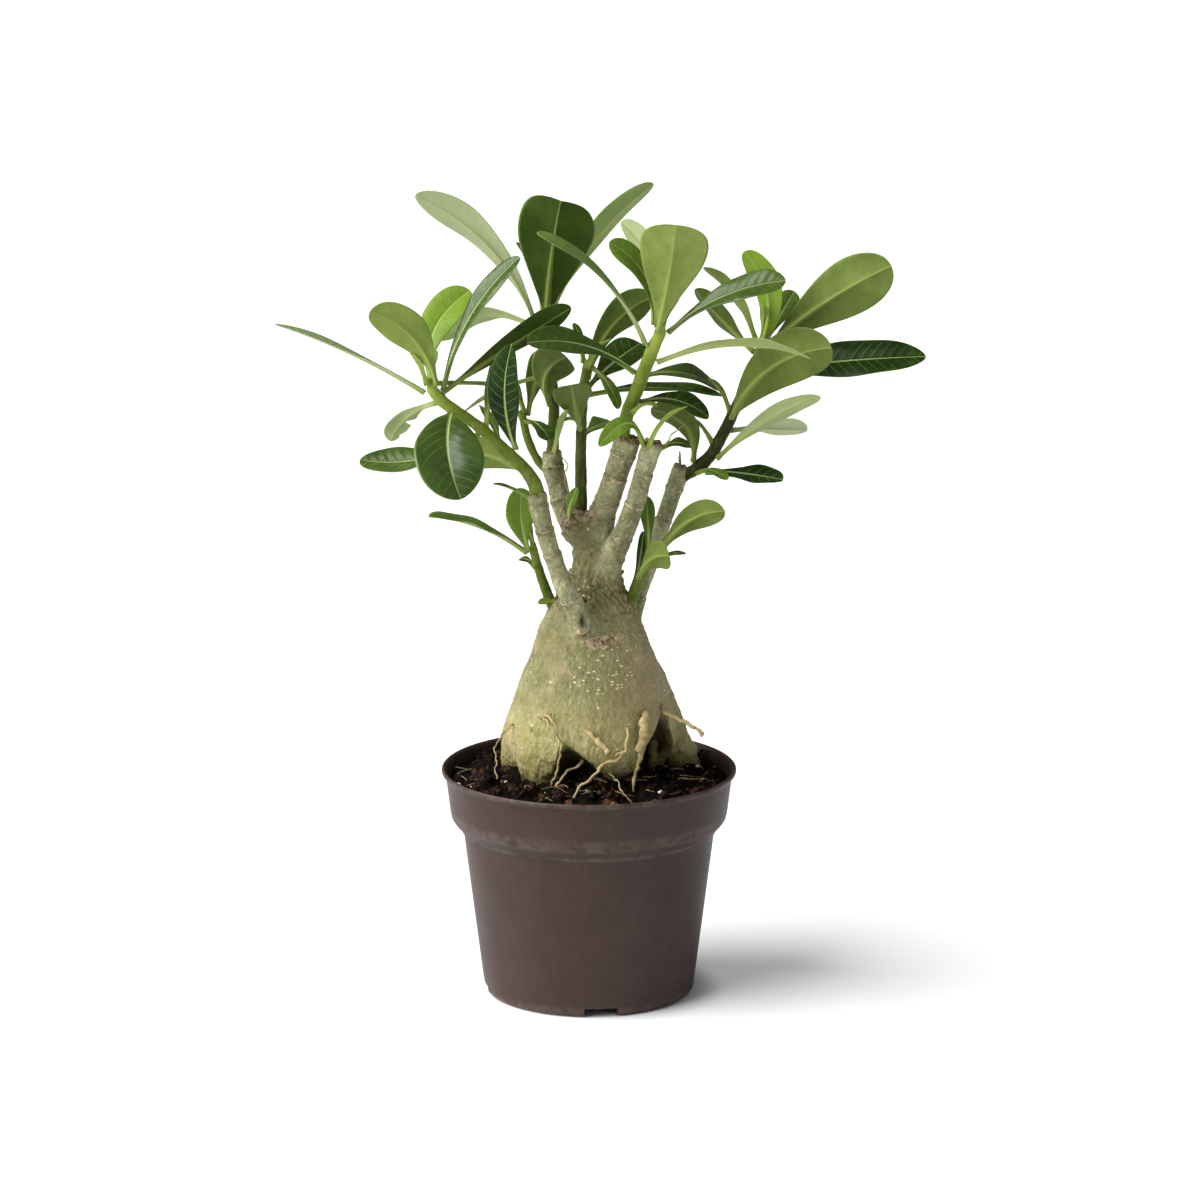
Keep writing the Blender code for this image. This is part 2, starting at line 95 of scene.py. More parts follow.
BRANCHES = {
    "neck": [(1.5, 0, 150, 20), (1.7, 1, 163, 13.2), (2.9, 1, 172.5, 10.4), (2.1, 1, 181.6, 8.6),
        (1.3, 1, 188.2, 8.1), (-1, 0, 193, 8.8), (-2.2, 0, 198.4, 9.2)],
    "knob": [(3, -1, 190, 5), (-4, -2, 194.4, 6.4), (-9.4, -3, 196, 5)],
    "left_limb": [(2, -12, 147, 5.5), (-2.4, -19, 156.5, 4.8), (-6, -23, 166.8, 4.4),
        (-10.2, -26, 175.9, 3.8), (-13.8, -27, 186.3, 3.6), (-16.5, -28, 194.7, 3.6),
        (-19.1, -29, 205.2, 3.8), (-21, -30, 214.7, 4.1)],
    "middle_limb": [(1, 0, 189, 6.5), (3.7, -2, 193.9, 6.3), (5.7, -5, 201.1, 5.3),
        (8.9, -8, 210.8, 5), (11.7, -9, 220, 4.8), (14.1, -10, 227.6, 5.2), (15.7, -11, 233.5, 5.5)],
    "right_limb": [(1, 0, 170, 6), (6.5, -4, 176.1, 5.6), (10.1, -8, 184.9, 4.9),
        (14.9, -12, 196.1, 4.2), (18.9, -14, 208, 3.9), (21.7, -15, 218.4, 3.8), (24, -16, 226.8, 4),
        (26.4, -16, 232.5, 4)],
    "back_left_limb": [(1.5, 2, 179, 6), (-1.4, 7, 186.4, 5.3), (-7.6, 11, 194.8, 5),
        (-11.4, 13, 202.6, 4.3), (-12.9, 14, 209.4, 4.2), (-14.5, 14, 215.2, 4.4),
        (-14.9, 15, 222.4, 3.8)],
    "back_right_limb": [(12, 7, 145, 4), (17.5, 10, 153.7, 3.5), (20.8, 13, 164.7, 3.4),
        (25.3, 15, 176.7, 3.3), (29.7, 17, 190.9, 3.4), (33.4, 18, 201.9, 3.4), (36.6, 18, 211.4, 3.7),
        (37.8, 18, 215.5, 3.4)],
}

SHOOTS = {
    "front_left": [(-20.4, -29.5, 212, 3.2), (-21.4, -31, 218, 3.1), (-25.4, -33, 224.6, 2.8),
        (-33.2, -35, 232.6, 2.6), (-43, -37, 242.3, 2.4), (-51.6, -39, 248.8, 2.5),
        (-57.9, -40, 253.6, 2.6), (-61.6, -41, 258.6, 2.2), (-63, -41.5, 262.5, 1.8)],
    "back_left": [(-14.8, 15, 219, 3), (-14.4, 15, 230.7, 2.6), (-14.1, 14, 243.3, 2.4),
        (-15.6, 13, 257.8, 2.2), (-17.6, 12, 270.3, 2.2), (-19.2, 12, 278, 1.9)],
    "small_back": [(-17, 16, 214, 2), (-21, 17, 218.5, 1.9), (-24.5, 17.5, 226, 1.8),
        (-27.5, 18, 238, 1.6)],
    "centre": [(-3.2, 0, 201, 2.8), (-3.2, 0, 217.3, 2.6), (-3.1, 0, 229.7, 2.4), (-2.7, 0, 242, 2.3),
        (-1.9, 0, 252.2, 2.2), (-0.4, 1, 262, 1.9)],
    "tall": [(13.6, -11, 230, 3), (14.2, -12, 238, 3), (16, -13.5, 245, 3), (20.4, -16, 256.5, 3),
        (24.3, -19, 268, 2.9), (27.4, -21, 275.2, 2.7), (29.2, -22, 281, 2.2)],
    "right": [(36.2, 18, 208.5, 2.4), (40, 17, 212, 2.6), (44.6, 15, 215.5, 2.8),
        (50.2, 12, 222.2, 2.7), (55, 10, 231.7, 2.6), (58.8, 9, 240, 2.5), (63.4, 9, 250.8, 2.3),
        (68, 9, 262, 2.2), (71, 9, 270, 1.8)],
    "low_right": [(14.6, -2, 160, 2.6), (17.6, -4, 166, 2.6), (20.4, -7, 173.5, 2.4),
        (23.8, -10, 181.6, 2.2), (26.6, -12, 188.4, 1.9)],
    "low_left": [(-13.2, -1, 158, 2.4), (-15.8, -2, 164, 2.4), (-18.1, -4, 171, 2.2),
        (-20.6, -6, 179, 2), (-22.6, -8, 188, 1.7)],
}

AERIAL_ROOTS = {
    "left_loop": [(-18, -26, 122, 0.9), (-16, -33, 122.5, 0.9), (-13.4, -35.4, 119, 0.8),
        (-12, -34, 113, 0.8), (-11.4, -34, 107, 0.8), (-13, -32, 100, 0.8), (-15, -30, 93, 0.8),
        (-15.4, -29, 88, 0.8)],
    "front_low": [(-2, -22, 104, 1), (-4, -27, 101.5, 1), (-9, -30, 99, 0.9), (-13, -31.5, 95, 0.9),
        (-14, -32, 89, 0.9)],
    "middle": [(15, -27, 117, 1.1), (15.6, -35, 117, 1.1), (14.6, -37.4, 112, 1.1),
        (12, -36.5, 107, 1.1), (7, -36, 104.5, 1.1), (2, -37, 100, 1), (-4, -38.5, 95, 1),
        (-8, -39, 89, 1)],
    "thick_right": [(22.5, -20, 122, 1.8), (22.5, -27.6, 120, 1.8), (22, -30, 114, 1.7),
        (20.6, -31, 107, 1.4), (18.6, -31, 99, 1.1), (17.4, -31, 89, 1)],
}

# Heights of the ring scars on the branches, and how far a limb blends into its neighbours.
RING_SCARS = {
    "left_limb": (170, 188.8, 199, 208.9), "middle_limb": (200, 206.3, 216, 226),
    "right_limb": (183.4, 192.2, 206, 219), "back_left_limb": (190, 203, 216),
    "back_right_limb": (162, 178, 193, 206),
}
BLEND = 1.0
# How far the edges are rounded where a cut ends a limb, or the neck and knob, and where a hollow is carved.
LIMB_BLUNT = 0.5
NECK_BLUNT = 1.4
CARVE_BLEND = 0.6
# Size of the even faces of the bark, and how many times they are drawn onto the blended shape.
BARK_VOXEL = 0.68
BARK_STEPS = 8
# Colour of each shoot at its foot, from dark at 0 to fresh green at 1.
SHOOT_TONES = {
    "front_left": 0.75, "back_left": 0.28, "small_back": 0.5, "centre": 0.15, "tall": 0.8, "right": 0.05,
    "low_right": 0.45, "low_left": 0.5,
}
SHOOT_SIDES = 30

# Leaves: rings of a leaf's solid, the stalk's radius, and how fast most blades narrow to base and tip.
LEAF_RINGS = 8
STALK_R = 0.9
OUTLINE = (1.5, 0.55)
# Side veins: gap along the midrib, rise with the distance from it and its square, and shift of one half.
VEIN_GAP = 3.9
VEIN_SLANT = 0.62
VEIN_CURVE = 0.018
VEIN_SHIFT = 0.45
# Gloss of the leaves that LEAF_GLOSS doesn't name.
PLAIN_GLOSS = 0.1

# Lights: strength, direction that each comes from and width in degrees, and the even light from all round.
KEY = 5.3
KEY_FROM = (-0.95, -0.36, 0.8)
KEY_ANGLE = 62
FILL = 0.3
FILL_FROM = (0.6, -1, 0.7)
FILL_ANGLE = 90
AMBIENT = 0.15
# The even light as reflections see it.
GLOSSY_AMBIENT = 0.075
# Strength of the floor's painted glow, seen by the camera only, which keeps it pale away from the pot.
FLOOR_LIFT = 0.2

# Camera: place in metres, lens, and its angles below the level and about the vertical, in degrees.
CAMERA_AT = (0, -2.2, 0.682)
CAMERA_LENS = 167.52
CAMERA_DIP = 13.26
CAMERA_TURN = -0.117

# Hollows under the trunk between its root legs, as (x, y, z, radius).
LEG_HOLLOWS = {
    "right": [(28.4, -22, 86, 11), (28.4, -20, 98, 10), (28.8, -18, 105, 7.2), (29.4, -15, 112, 3.9),
              (30.5, -14, 118, 2.3), (31.5, -13, 123, 1.1)],
    "front": [(-3, -42, 84, 18), (-5.2, -40, 93.5, 12.4), (-7.8, -37, 103, 6.3), (-9.4, -34.5, 109, 2.6),
              (-10.4, -33, 113, 0.6)],
    "left": [(-27, -27, 86, 3.5), (-27, -26, 97, 2.6), (-27, -25, 102, 0.8)],
    "back": [(-14, 36, 86, 10), (-12.4, 34, 97, 6.4), (-10.6, 32, 105, 3), (-9.6, 30, 110.4, 0.7)],
    "back_right": [(25, 31, 86, 8.6), (22.8, 29.4, 97, 5), (20.6, 28, 104, 2.2), (19.2, 27, 108.6, 0.6)],
}

# Where pale flecks lie thickest on the bark, as a place and its reach.
FLECK_PATCHES = [
    ((4, -27, 137.5), (15, 14, 5.5)), ((12, -22, 145), (8, 14, 7)), ((-24, -20, 138), (3, 12, 9)),
    ((-6, -10, 172), (14, 14, 6)), ((4, 28, 140), (16, 14, 9)), ((30, 4, 132), (6, 12, 9)),
]

# Marks on the bark: place, reach along X, Y and Z, how far it is raised, how scarred and how dark it is; the
# darkness is painted shade in a sunken mark and dark crust on a raised one.
BARK_MARKS = [
    ((-2.8, -24.2, 155.4), (2.2, 3, 2.2), 1.4, 1.2, 0),
    ((4.6, -22, 151.2), (6.0, 4, 2.2), 0.6, 1.1, 0),
    ((12, -19, 152.8), (3, 4, 1.4), 0.4, 0.9, 0),
    ((-1.6, -13.6, 166.2), (1.1, 3, 1.0), -1.2, 0.2, 1.0),
    ((-2.4, -25.2, 160.4), (1.2, 4, 3.2), -1.3, 0.3, 1.1),
    ((-12.1, -1, 190), (4, 5, 3), 0.5, 0.8, 0),
    ((-8, -4, 197.5), (3, 3, 2), 0.3, 0.9, 0.3),
    ((-6.5, -9, 197), (8, 9, 5.5), 0.8, 0.25, 0.55),
    ((-4, -10, 200.5), (3, 6, 1.4), 0.5, 0.8, 0),
    ((-8, -6, 201.5), (3, 5, 1.4), -0.8, 0.4, 0.8),
    ((22.0, -25, 119.4), (2.8, 4, 2.8), 1.2, 0.5, 0.3),
    ((22.4, -25.5, 120.8), (1.8, 3, 1.5), -1.4, 0.6, 1.0),
    ((17, -27.5, 118), (3, 4, 4), 0.5, 0.4, 0),
    ((-16.8, -27.6, 122), (1.6, 3, 1.6), 0.5, 0.5, 0.1),
    ((1.2, -33, 114.5), (2, 3, 2), 0.7, 0.5, 0),
    ((-23.4, -22, 115.2), (0.8, 3, 0.8), -0.5, 0.3, 0.8),
    ((-29.3, -14, 118), (0.7, 3, 0.7), -0.4, 0.3, 0.8),
]

# How pale, golden and glossy each leaf is, from 0 to 1, where it isn't like most of them.
LEAF_TONE = {
    "front_left": (0.9, 0.47, 0.8, 0.25, 0.05, 0.82, 0.2, 0.3, 0.32, 0.0),
    "back_left": (0.0, 0.88, 0.76, 0.8, 0.2), "small_back": (0.25, 0.25), "centre": (0.25, 0.2, 0.08, 0.3),
    "tall": (0.2, 0.57, 0.45, 0.84, 0.84, 0.36, 0.74, 0.4, 0.1),
    "right": (0.26, 0.28, 0.6, 0.45, 0.2, 0.0, 0.8, 1.0, 0.0, 0.25), "low_right": (0.28, 0.3),
    "low_left": (0.7, 0.35), "right_limb": (0.6,),
}
# How fast a blade narrows to its base and to its tip, where it isn't like most of them.
LEAF_OUTLINE = {
    "leaf_back_left_01": (1.3, 0.4), "leaf_front_left_07": (0.85, 0.55), "leaf_right_01": (1.05, 0.52),
    "leaf_right_02": (1.15, 0.5), "leaf_right_06": (1.0, 0.6), "leaf_right_03": (1.0, 0.5),
    "leaf_front_left_10": (1.1, 0.8),
}
LEAF_GLOSS = {
    "leaf_front_left_07": 0.8, "leaf_front_left_04": 0.5, "leaf_tall_06": 0.55, "leaf_tall_01": 0.4,
    "leaf_front_left_08": 0.5, "leaf_tall_07": 0.5, "leaf_low_left_02": 0.3,
}
LEAF_SLIMMER = {
    "leaf_low_left_01": 1.35, "leaf_front_left_01": 0.75, "leaf_front_left_10": 0.76,
    "leaf_front_left_04": 0.85,
}
LEAF_GOLD = {
    "leaf_right_03": 1.0, "leaf_right_limb_01": 0.6, "leaf_front_left_03": 0.7, "leaf_back_left_03": 0.2,
    "leaf_tall_03": 0.5, "leaf_low_left_02": 0.8, "leaf_front_left_02": 0.2,
}
# Bites at a leaf's edge: side, place along it, reach and depth as a part of the half width.
LEAF_BITES = {
    "leaf_front_left_06": [(1, 0.62, 0.05, 0.75), (1, 0.9, 0.03, 0.3)],
    "leaf_tall_04": [(-1, 0.7, 0.03, 0.2)],
}

# Small leaves: the limb that carries each, place along it, tip, width, arch, sweep, roll, paleness and gold.
SMALL_LEAVES = [
    ("front_left", 0.02, (-38, -34, 219), 4, 1, 0, 10, 0.2, 0),
    ("front_left", 0.97, (-27, -12, 252), 4, 2, 1, 20, 0.5, 0),
    ("front_left", 0.55, (-33, -24, 270), 9, 2, 0, -70, 0.3, 0),
    ("front_left", 0.42, (-43, -12, 246), 8, 1, 0, 60, 0.8, 0),
    ("front_left", 0.99, (-70, -46, 274), 5, 1, 0, 0, 0.6, 0.3),
    ("front_left", 0.99, (-60, -36, 273), 4, 1, 0, 0, 0.5, 0.3),
    ("back_left", 0.05, (-9, -20, 246), 4, 2, -1, 20, 0.7, 0),
    ("back_left", 0.60, (-51, 14, 238), 8, 2, 1, 10, 0.5, 0),
    ("back_left", 0.98, (-29, 6, 309), 8, 2, 1, -50, 0.6, 0.3),
    ("back_left", 0.99, (-16, 16, 294), 5, 1, 0, 0, 0.5, 0.3),
    ("centre", 0.97, (12, -8, 244), 6, 3, 0, 30, 0.6, 0.2),
    ("centre", 0.96, (8, -14, 273), 7, 2, 0, 20, 0.7, 0.6),
    ("centre", 0.99, (-6, 8, 276), 5, 1, 0, 0, 0.4, 0.2),
    ("centre", 0.62, (-12, -4, 237), 8, 1, 0, 10, 0.5, 0),
    ("centre", 0.50, (10, 28, 231), 11, 2, 0, 20, 0.7, 0),
    ("small_back", 0.98, (-33, 20, 254), 5, 1, 0, 0, 0.4, 0.2),
    ("tall", 0.30, (27, -24, 248), 6, 2, 0, 10, 0.6, 0.2),
    ("tall", 0.99, (24, -30, 297), 5, 1, 0, 0, 0.5, 0.3),
    ("tall", 0.99, (36, -16, 294), 5, 1, 0, 0, 0.5, 0.3),
    ("right", 0.98, (83, 24, 286), 9, 2, 0, 20, 0.5, 0),
    ("right", 0.99, (70, 2, 284), 5, 1, 0, 0, 0.5, 0.3),
    ("right", 0.15, (56, 2, 213), 6, 2, 0, 30, 0.6, 0.5),
    ("right", 0.55, (48, -6, 256), 3.5, 2, 0, 20, 0.2, 0),
    ("right", 0.34, (37, 4, 240), 3, 2, 0, 20, 0.2, 0),
    ("right_limb", 0.96, (39, -28, 249), 5, 3, 0, 20, 0.6, 0.5),
    ("right_limb", 0.98, (41, -10, 229), 7, 2, 0, 20, 0.4, 0),
    ("low_right", 0.97, (43, -8, 196), 8, 2, 0, -60, 0.5, 0),
    ("low_right", 0.90, (23, -6, 208), 6, 1, 0, -30, 0.5, 0.2),
    ("low_right", 0.85, (39, -14, 186), 4, 1, 0, 10, 0.3, 0),
    ("low_right", 0.40, (22, -4, 193), 4, 1, 0, 0, 0.2, 0),
    ("low_left", 0.72, (-28, -2, 181), 4, 1, 0, 0, 0.2, 0),
    ("low_left", 0.98, (-26, -4, 198), 4, 1, 0, 0, 0.4, 0.2),
    ("neck", 0.26, (-20.6, -6, 164.2), 3.5, 0.5, 0, 60, 0.4, 0.3),
    ("knob", 1.0, (-4.6, -9, 212), 4.6, 2, 0, 60, 0.5, 0.3),
]

# Dry twigs and loose roots beside the four roots that the construction has, as (x, y, z, radius).
TWIGS = {
    "twig_fork": [(29.5, -15, 230, 0.7), (33, -17, 234.5, 0.55), (37.9, -18, 239.4, 0.4)],
    "twig_curl": [(-10.5, -1, 200, 0.7), (-8.6, -8, 210, 0.6), (-10.4, -11, 216.2, 0.5),
                  (-8.6, -10, 221, 0.5), (-11.2, -8, 226, 0.35)],
    "twig_stub": [(37.6, 18, 213, 1.3), (37.2, 17.6, 217.6, 1.1), (36.4, 17, 220.6, 0.7)],
}
LOOSE_ROOTS = {
    "root_stub": [(-1.6, -30, 117.4, 1.4), (0.4, -34.4, 116, 1.42), (4, -37.6, 113.6, 1.44),
                  (7.6, -39.6, 111.2, 1.45)],
    "root_sheath": [(22.4, -24, 119.4, 1.8), (22.4, -29, 118, 1.9), (21.8, -31.2, 114.5, 1.85),
                    (20.8, -31.8, 110.6, 1.85), (20.2, -32, 108.4, 2.0)],
    "root_knobbed": [(27.5, -10, 124.5, 1.5), (31, -15, 120.6, 1.38), (38.4, -19, 117.2, 1.3),
                     (44.3, -22, 114.3, 1.25), (45.9, -22.6, 113.4, 1.45)],
    "root_left_end": [(-28, -8, 114.5, 0.7), (-33.6, -12, 112.8, 0.6), (-36.6, -17, 108.6, 0.5),
                      (-37.9, -22, 104, 0.5), (-37, -26, 96, 0.5)],
    "root_outer_loop": [(-20.5, -23, 120.5, 0.8), (-19, -29, 121.8, 0.8), (-15, -34.5, 119.2, 0.8),
                        (-12.2, -36, 113.4, 0.7), (-12.8, -35.4, 108.6, 0.6)],
    "root_hooked": [(11.4, -30, 107.6, 1.2), (11.8, -35, 108.2, 1.2), (13.6, -37.6, 109.6, 1.0)],
    "root_thin_front": [(8, -30, 100, 0.6), (11, -36, 97, 0.55), (14.5, -41, 92.8, 0.5), (17, -44, 91, 0.4)],
    "root_green_leg": [(25.4, 1, 113, 2.3), (25.8, -3, 106, 2.1), (26, -5, 99, 1.9), (25.4, -6, 91, 1.8)],
}


def clamp(values):
    return np.clip(values, 0.0, 1.0)


def ramp(values, low, high):
    """0 below low, 1 above high, and an even S-curve between them."""
    t = clamp((values - low) / (high - low))
    return t * t * (3 - 2 * t)


def bell(values, width):
    """1 at 0, falling off to both sides over the width."""
    return np.exp(-(values / width) ** 2)


def spot(points, place, reach):
    """1 at the place, falling off as a bell over its reach along X, Y and Z."""
    return np.exp(-(((points - place) / reach) ** 2).sum(axis=1))


def nearest(points, others):
    """Distance from each point to the nearest of the others."""
    return np.linalg.norm(points[:, None] - np.asarray(others), axis=-1).min(axis=1)


def unit(vectors):
    return vectors / np.maximum(np.linalg.norm(vectors, axis=-1, keepdims=True), 1e-9)


def waves(points, size, seed, count=26):
    """Smooth bumps about 0: the mean of sine waves that run in many directions, each about size long."""
    rng = np.random.default_rng(seed)
    heading = unit(rng.normal(size=(count, 3))).T * (2 * np.pi / size) * rng.uniform(0.65, 1.5, count)
    return np.sin(points @ heading + rng.uniform(0, 2 * np.pi, count)).sum(axis=1) / (count / 2) ** 0.5


def smooth_path(points, spans):
    """Catmull-Rom curve through the points, with the given number of steps between neighbours."""
    p = np.array(points, float)
    p = np.vstack([2 * p[0] - p[1], p, 2 * p[-1] - p[-2]])
    t = (np.arange(spans) / spans)[None, :, None]
    a, b, c, d = p[:-3, None], p[1:-2, None], p[2:-1, None], p[3:, None]
    square, cube = 2 * a - 5 * b + 4 * c - d, 3 * b - a - 3 * c + d
    curve = 0.5 * (2 * b + (c - a) * t + square * t ** 2 + cube * t ** 3)
    return np.vstack([curve.reshape(-1, p.shape[1]), p[-2]])


def travelled(path):
    """Distance along the path to each of its points."""
    return np.append(0, np.cumsum(np.linalg.norm(np.diff(path[:, :3], axis=0), axis=1)))


def along_path(path, place):
    """Point, direction and radius at a part of the path's length, from 0 to 1."""
    length = travelled(path)
    at = place * length[-1]
    knot = [np.interp(at, length, path[:, k]) for k in range(4)]
    before = min(np.searchsorted(length, at, side="right"), len(path) - 1)
    return np.array(knot[:3]), unit(path[before, :3] - path[before - 1, :3]), knot[3]


def skin(rings, first, last):
    """A closed surface: rings of points joined in their order, with a fan to one point at each end."""
    rows, columns = rings.shape[:2]
    index = np.arange(rows * columns).reshape(rows, columns)
    turn = np.roll(index, -1, axis=1)
    quads = np.stack([index[:-1], turn[:-1], turn[1:], index[1:]], axis=-1).reshape(-1, 4)
    ends = np.array([[rows * columns], [rows * columns + 1]]).repeat(columns, axis=1)
    fans = np.concatenate([np.stack([turn[0], index[0], ends[0]], axis=-1),
                           np.stack([index[-1], turn[-1], ends[1]], axis=-1)])
    points = np.vstack([rings.reshape(-1, 3), first, last])
    a, b, c, d = (points[quads[:, k]] for k in range(4))
    volume = (a * (np.cross(b, c) + np.cross(c, d))).sum()
    if volume < 0:
        quads, fans = quads[:, ::-1], fans[:, ::-1]
    return points, quads.tolist() + fans.tolist()


def across_path(path):
    """Two directions across the path at each of its points, without twist about it."""
    heading = unit(np.gradient(path[:, :3], axis=0))
    mean = unit(path[-1, :3] - path[0, :3])
    aside = np.eye(3)[np.argmin(np.abs(mean))]
    right = unit(np.cross(heading, aside))
    return right, np.cross(right, heading)


def tube(path, sides, press=None):
    """A closed tube along (x, y, z, radius) points with a rounded end; press changes its radius.

    A ring's points are the centre plus its radius times the cosine and sine of the turn, along the two
    directions across the path.
    """
    right, up = across_path(path)
    turn = np.linspace(0, 2 * np.pi, sides, endpoint=False)
    cosine, sine = np.cos(turn)[:, None], np.sin(turn)[:, None]
    outward = right[:, None] * cosine + up[:, None] * sine
    rings = path[:, None, :3] + outward * path[:, None, 3:]
    if press is not None:
        rings = rings + outward * press(rings.reshape(-1, 3)).reshape(len(path), sides, 1)
    heading = unit(path[-1, :3] - path[-2, :3])
    start = path[0, :3] - unit(path[1, :3] - path[0, :3]) * path[0, 3] * 0.4
    return skin(rings, start, path[-1, :3] + heading * path[-1, 3] * 0.5)


def joined(shapes):
    """Several (points, faces) as one."""
    points, faces, count = [], [], 0
    for p, f in shapes:
        points.append(p)
        faces += [[v + count for v in face] for face in f]
        count += len(p)
    return np.vstack(points), faces


def in_scene(name, data):
    made = bpy.data.objects.new(name, data)
    bpy.context.scene.collection.objects.link(made)
    return made


def mesh_object(name, points, faces):
    """A mesh in the scene, from points in millimetres."""
    mesh = bpy.data.meshes.new(name)
    mesh.from_pydata((np.asarray(points) * MM).tolist(), [], faces)
    return in_scene(name, mesh)


def piece(name, shape, finish, values=(), nodes=()):
    """A piece of the plant with its numbers kept as attributes, in place of the named solids."""
    made = mesh_object(name, *shape)
    for key, numbers in dict(values).items():
        attribute = made.data.attributes.new(key, "FLOAT", "POINT")
        numbers = np.broadcast_to(np.asarray(numbers, np.float32), len(shape[0]))
        attribute.data.foreach_set("value", numbers.copy())
    made.data.shade_smooth()
    made.data.materials.append(finish)
    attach(made, "root")
    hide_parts(*nodes)
    return made


def mesh_points(mesh):
    """The mesh's points, in millimetres."""
    points = np.empty(len(mesh.vertices) * 3, np.float32)
    mesh.vertices.foreach_get("co", points)
    return points.reshape(-1, 3).astype(float) / MM


def mesh_corners(mesh, sides):
    """The corners of each face, for faces that all have this many sides."""
    corners = np.empty(len(mesh.loops), np.int32)
    mesh.loops.foreach_get("vertex_index", corners)
    return corners.reshape(-1, sides)


def evaluated(made):
    """The object's mesh with its modifiers applied."""
    bpy.context.view_layer.update()
    return bpy.data.meshes.new_from_object(made.evaluated_get(bpy.context.evaluated_depsgraph_get()))


# Materials

def shade(colour):
    """Linear colour of an 8-bit display colour."""
    level = np.array(colour) / 255
    linear = np.where(level <= 0.04045, level / 12.92, ((level + 0.055) / 1.055) ** 2.4)
    return (*linear.tolist(), 1.0)


class Field:
    """A number, colour or vector over the surface, from a shader node, with arithmetic by Math nodes."""

    def __init__(self, socket):
        self.socket = socket
        self.tree = socket.id_data

    def beside(self, output):
        """Another output of the same node."""
        return Field(self.socket.node.outputs[output])

    def math(self, operation, *others):
        return node("Math", dict(enumerate((self, *others))), operation=operation)

    def __add__(self, other):
        return self.math("ADD", other)

    def __sub__(self, other):
        return self.math("SUBTRACT", other)

    def __mul__(self, other):
        return self.math("MULTIPLY", other)

    def __truediv__(self, other):
        return self.math("DIVIDE", other)

    def __pow__(self, other):
        return self.math("POWER", other)

    def __abs__(self):
        return self.math("ABSOLUTE")

    def ramp(self, low, high, start=0.0, end=1.0):
        """An even S-curve from start, at low, to end, at high."""
        return node("MapRange", {0: self, 1: low, 2: high, 3: start, 4: end}, interpolation_type="SMOOTHSTEP")


def node(kind, inputs, output=0, tree=None, **settings):
    """One output of a new shader node, whose inputs are values or fields; it joins the first field's tree."""
    tree = tree or next(value.tree for value in inputs.values() if isinstance(value, Field))
    made = tree.nodes.new("ShaderNode" + kind)
    for key, value in settings.items():
        setattr(made, key, value)
    for key, value in inputs.items():
        if isinstance(value, Field):
            tree.links.new(value.socket, made.inputs[key])
        else:
            made.inputs[key].default_value = value
    return Field(made.outputs[output])


def mixed(amount, low, high):
    """Low where the amount is 0 and high where it is 1, each a field or an 8-bit colour."""
    low, high = (side if isinstance(side, Field) else shade(side) for side in (low, high))
    return node("Mix", {0: amount, 6: low, 7: high}, 2, data_type="RGBA")


def attributes(at, *names):
    """The numbers that the mesh keeps under these names."""
    return [node("Attribute", {}, "Fac", at.tree, attribute_name=name) for name in names]


def millimetres(at, axis):
    return node("SeparateXYZ", {0: at}, axis) * (1 / MM)


def stretched(at, scale):
    return node("Mapping", {"Vector": at, "Scale": scale})


def noise(at, scale, detail=3.0, roughness=0.55, distortion=0.0, output="Fac"):
    return node("TexNoise", {"Vector": at, "Scale": scale, "Detail": detail, "Roughness": roughness,
                             "Distortion": distortion}, output)


def group(name, takes, build):
    """A shader group with one output. Takes gives each input's start value, or None for a vector."""
    tree = bpy.data.node_groups.new(name, "ShaderNodeTree")
    for key, value in takes.items():
        kind = "Vector" if value is None else "Float" if isinstance(value, float) else "Color"
        socket = tree.interface.new_socket(key, in_out="INPUT", socket_type="NodeSocket" + kind)
        if value is not None:
            socket.default_value = value
    inside = tree.nodes.new("NodeGroupInput")
    key, kind, made = build(*(Field(inside.outputs[key]) for key in takes))
    tree.interface.new_socket(key, in_out="OUTPUT", socket_type="NodeSocket" + kind)
    outside = tree.nodes.new("NodeGroupOutput")
    tree.links.new(made.socket, outside.inputs[key])
    return tree


def placed(made, at, **inputs):
    """The output of a group in the material of at."""
    return node("Group", {"Vector": at} | inputs, node_tree=made)


def mottle_nodes(at, scale, low, middle, high):
    """Cloudy change between three colours, large and small."""
    value = noise(at, scale * 5.3, 3.0, 0.6) * 0.35 + noise(at, scale, 4.0, 0.6) * 0.65
    lower = mixed(value.ramp(0.36, 0.5), low, middle)
    return "Color", "Color", mixed(value.ramp(0.5, 0.66), lower, high)


def speck_nodes(at, scale, size, share):
    """Scattered small spots: where a cell's middle is near and the cell's own number is under its share."""
    wobble = noise(at, 900.0, 2.0, 0.5, output="Color")
    moved = node("VectorMath", {0: wobble, 1: (0.0008,) * 3}, operation="MULTIPLY")
    shifted = node("VectorMath", {0: at, 1: moved}, operation="ADD")
    middle = node("TexVoronoi", {"Vector": shifted, "Scale": scale, "Randomness": 1.0}, "Distance")
    near = (middle / size).ramp(1.0, 0.55)
    chance = node("SeparateColor", {0: middle.beside("Color")})
    return "Mask", "Float", chance.math("LESS_THAN", share) * near


def grain_nodes(at, scale, fine):
    """Fine height for a bump: small rounded bumps with finer ones over them."""
    return "Height", "Float", noise(at, scale * 4.1, 2.0, 0.6) * fine + noise(at, scale, 2.0, 0.5)


BLACK, GREY, WHITE = (0, 0, 0, 1), (0.5, 0.5, 0.5, 1), (1, 1, 1, 1)
MOTTLE = group("mottle", {"Vector": None, "Scale": 60.0, "Low": BLACK, "Middle": GREY, "High": WHITE},
               mottle_nodes)
SPECKS = group("specks", {"Vector": None, "Scale": 400.0, "Size": 0.25, "Share": 0.3}, speck_nodes)
GRAIN = group("grain", {"Vector": None, "Scale": 900.0, "Fine": 0.4}, grain_nodes)


def mottled(at, scale, low, middle, high):
    return placed(MOTTLE, at, Scale=scale, Low=shade(low), Middle=shade(middle), High=shade(high))


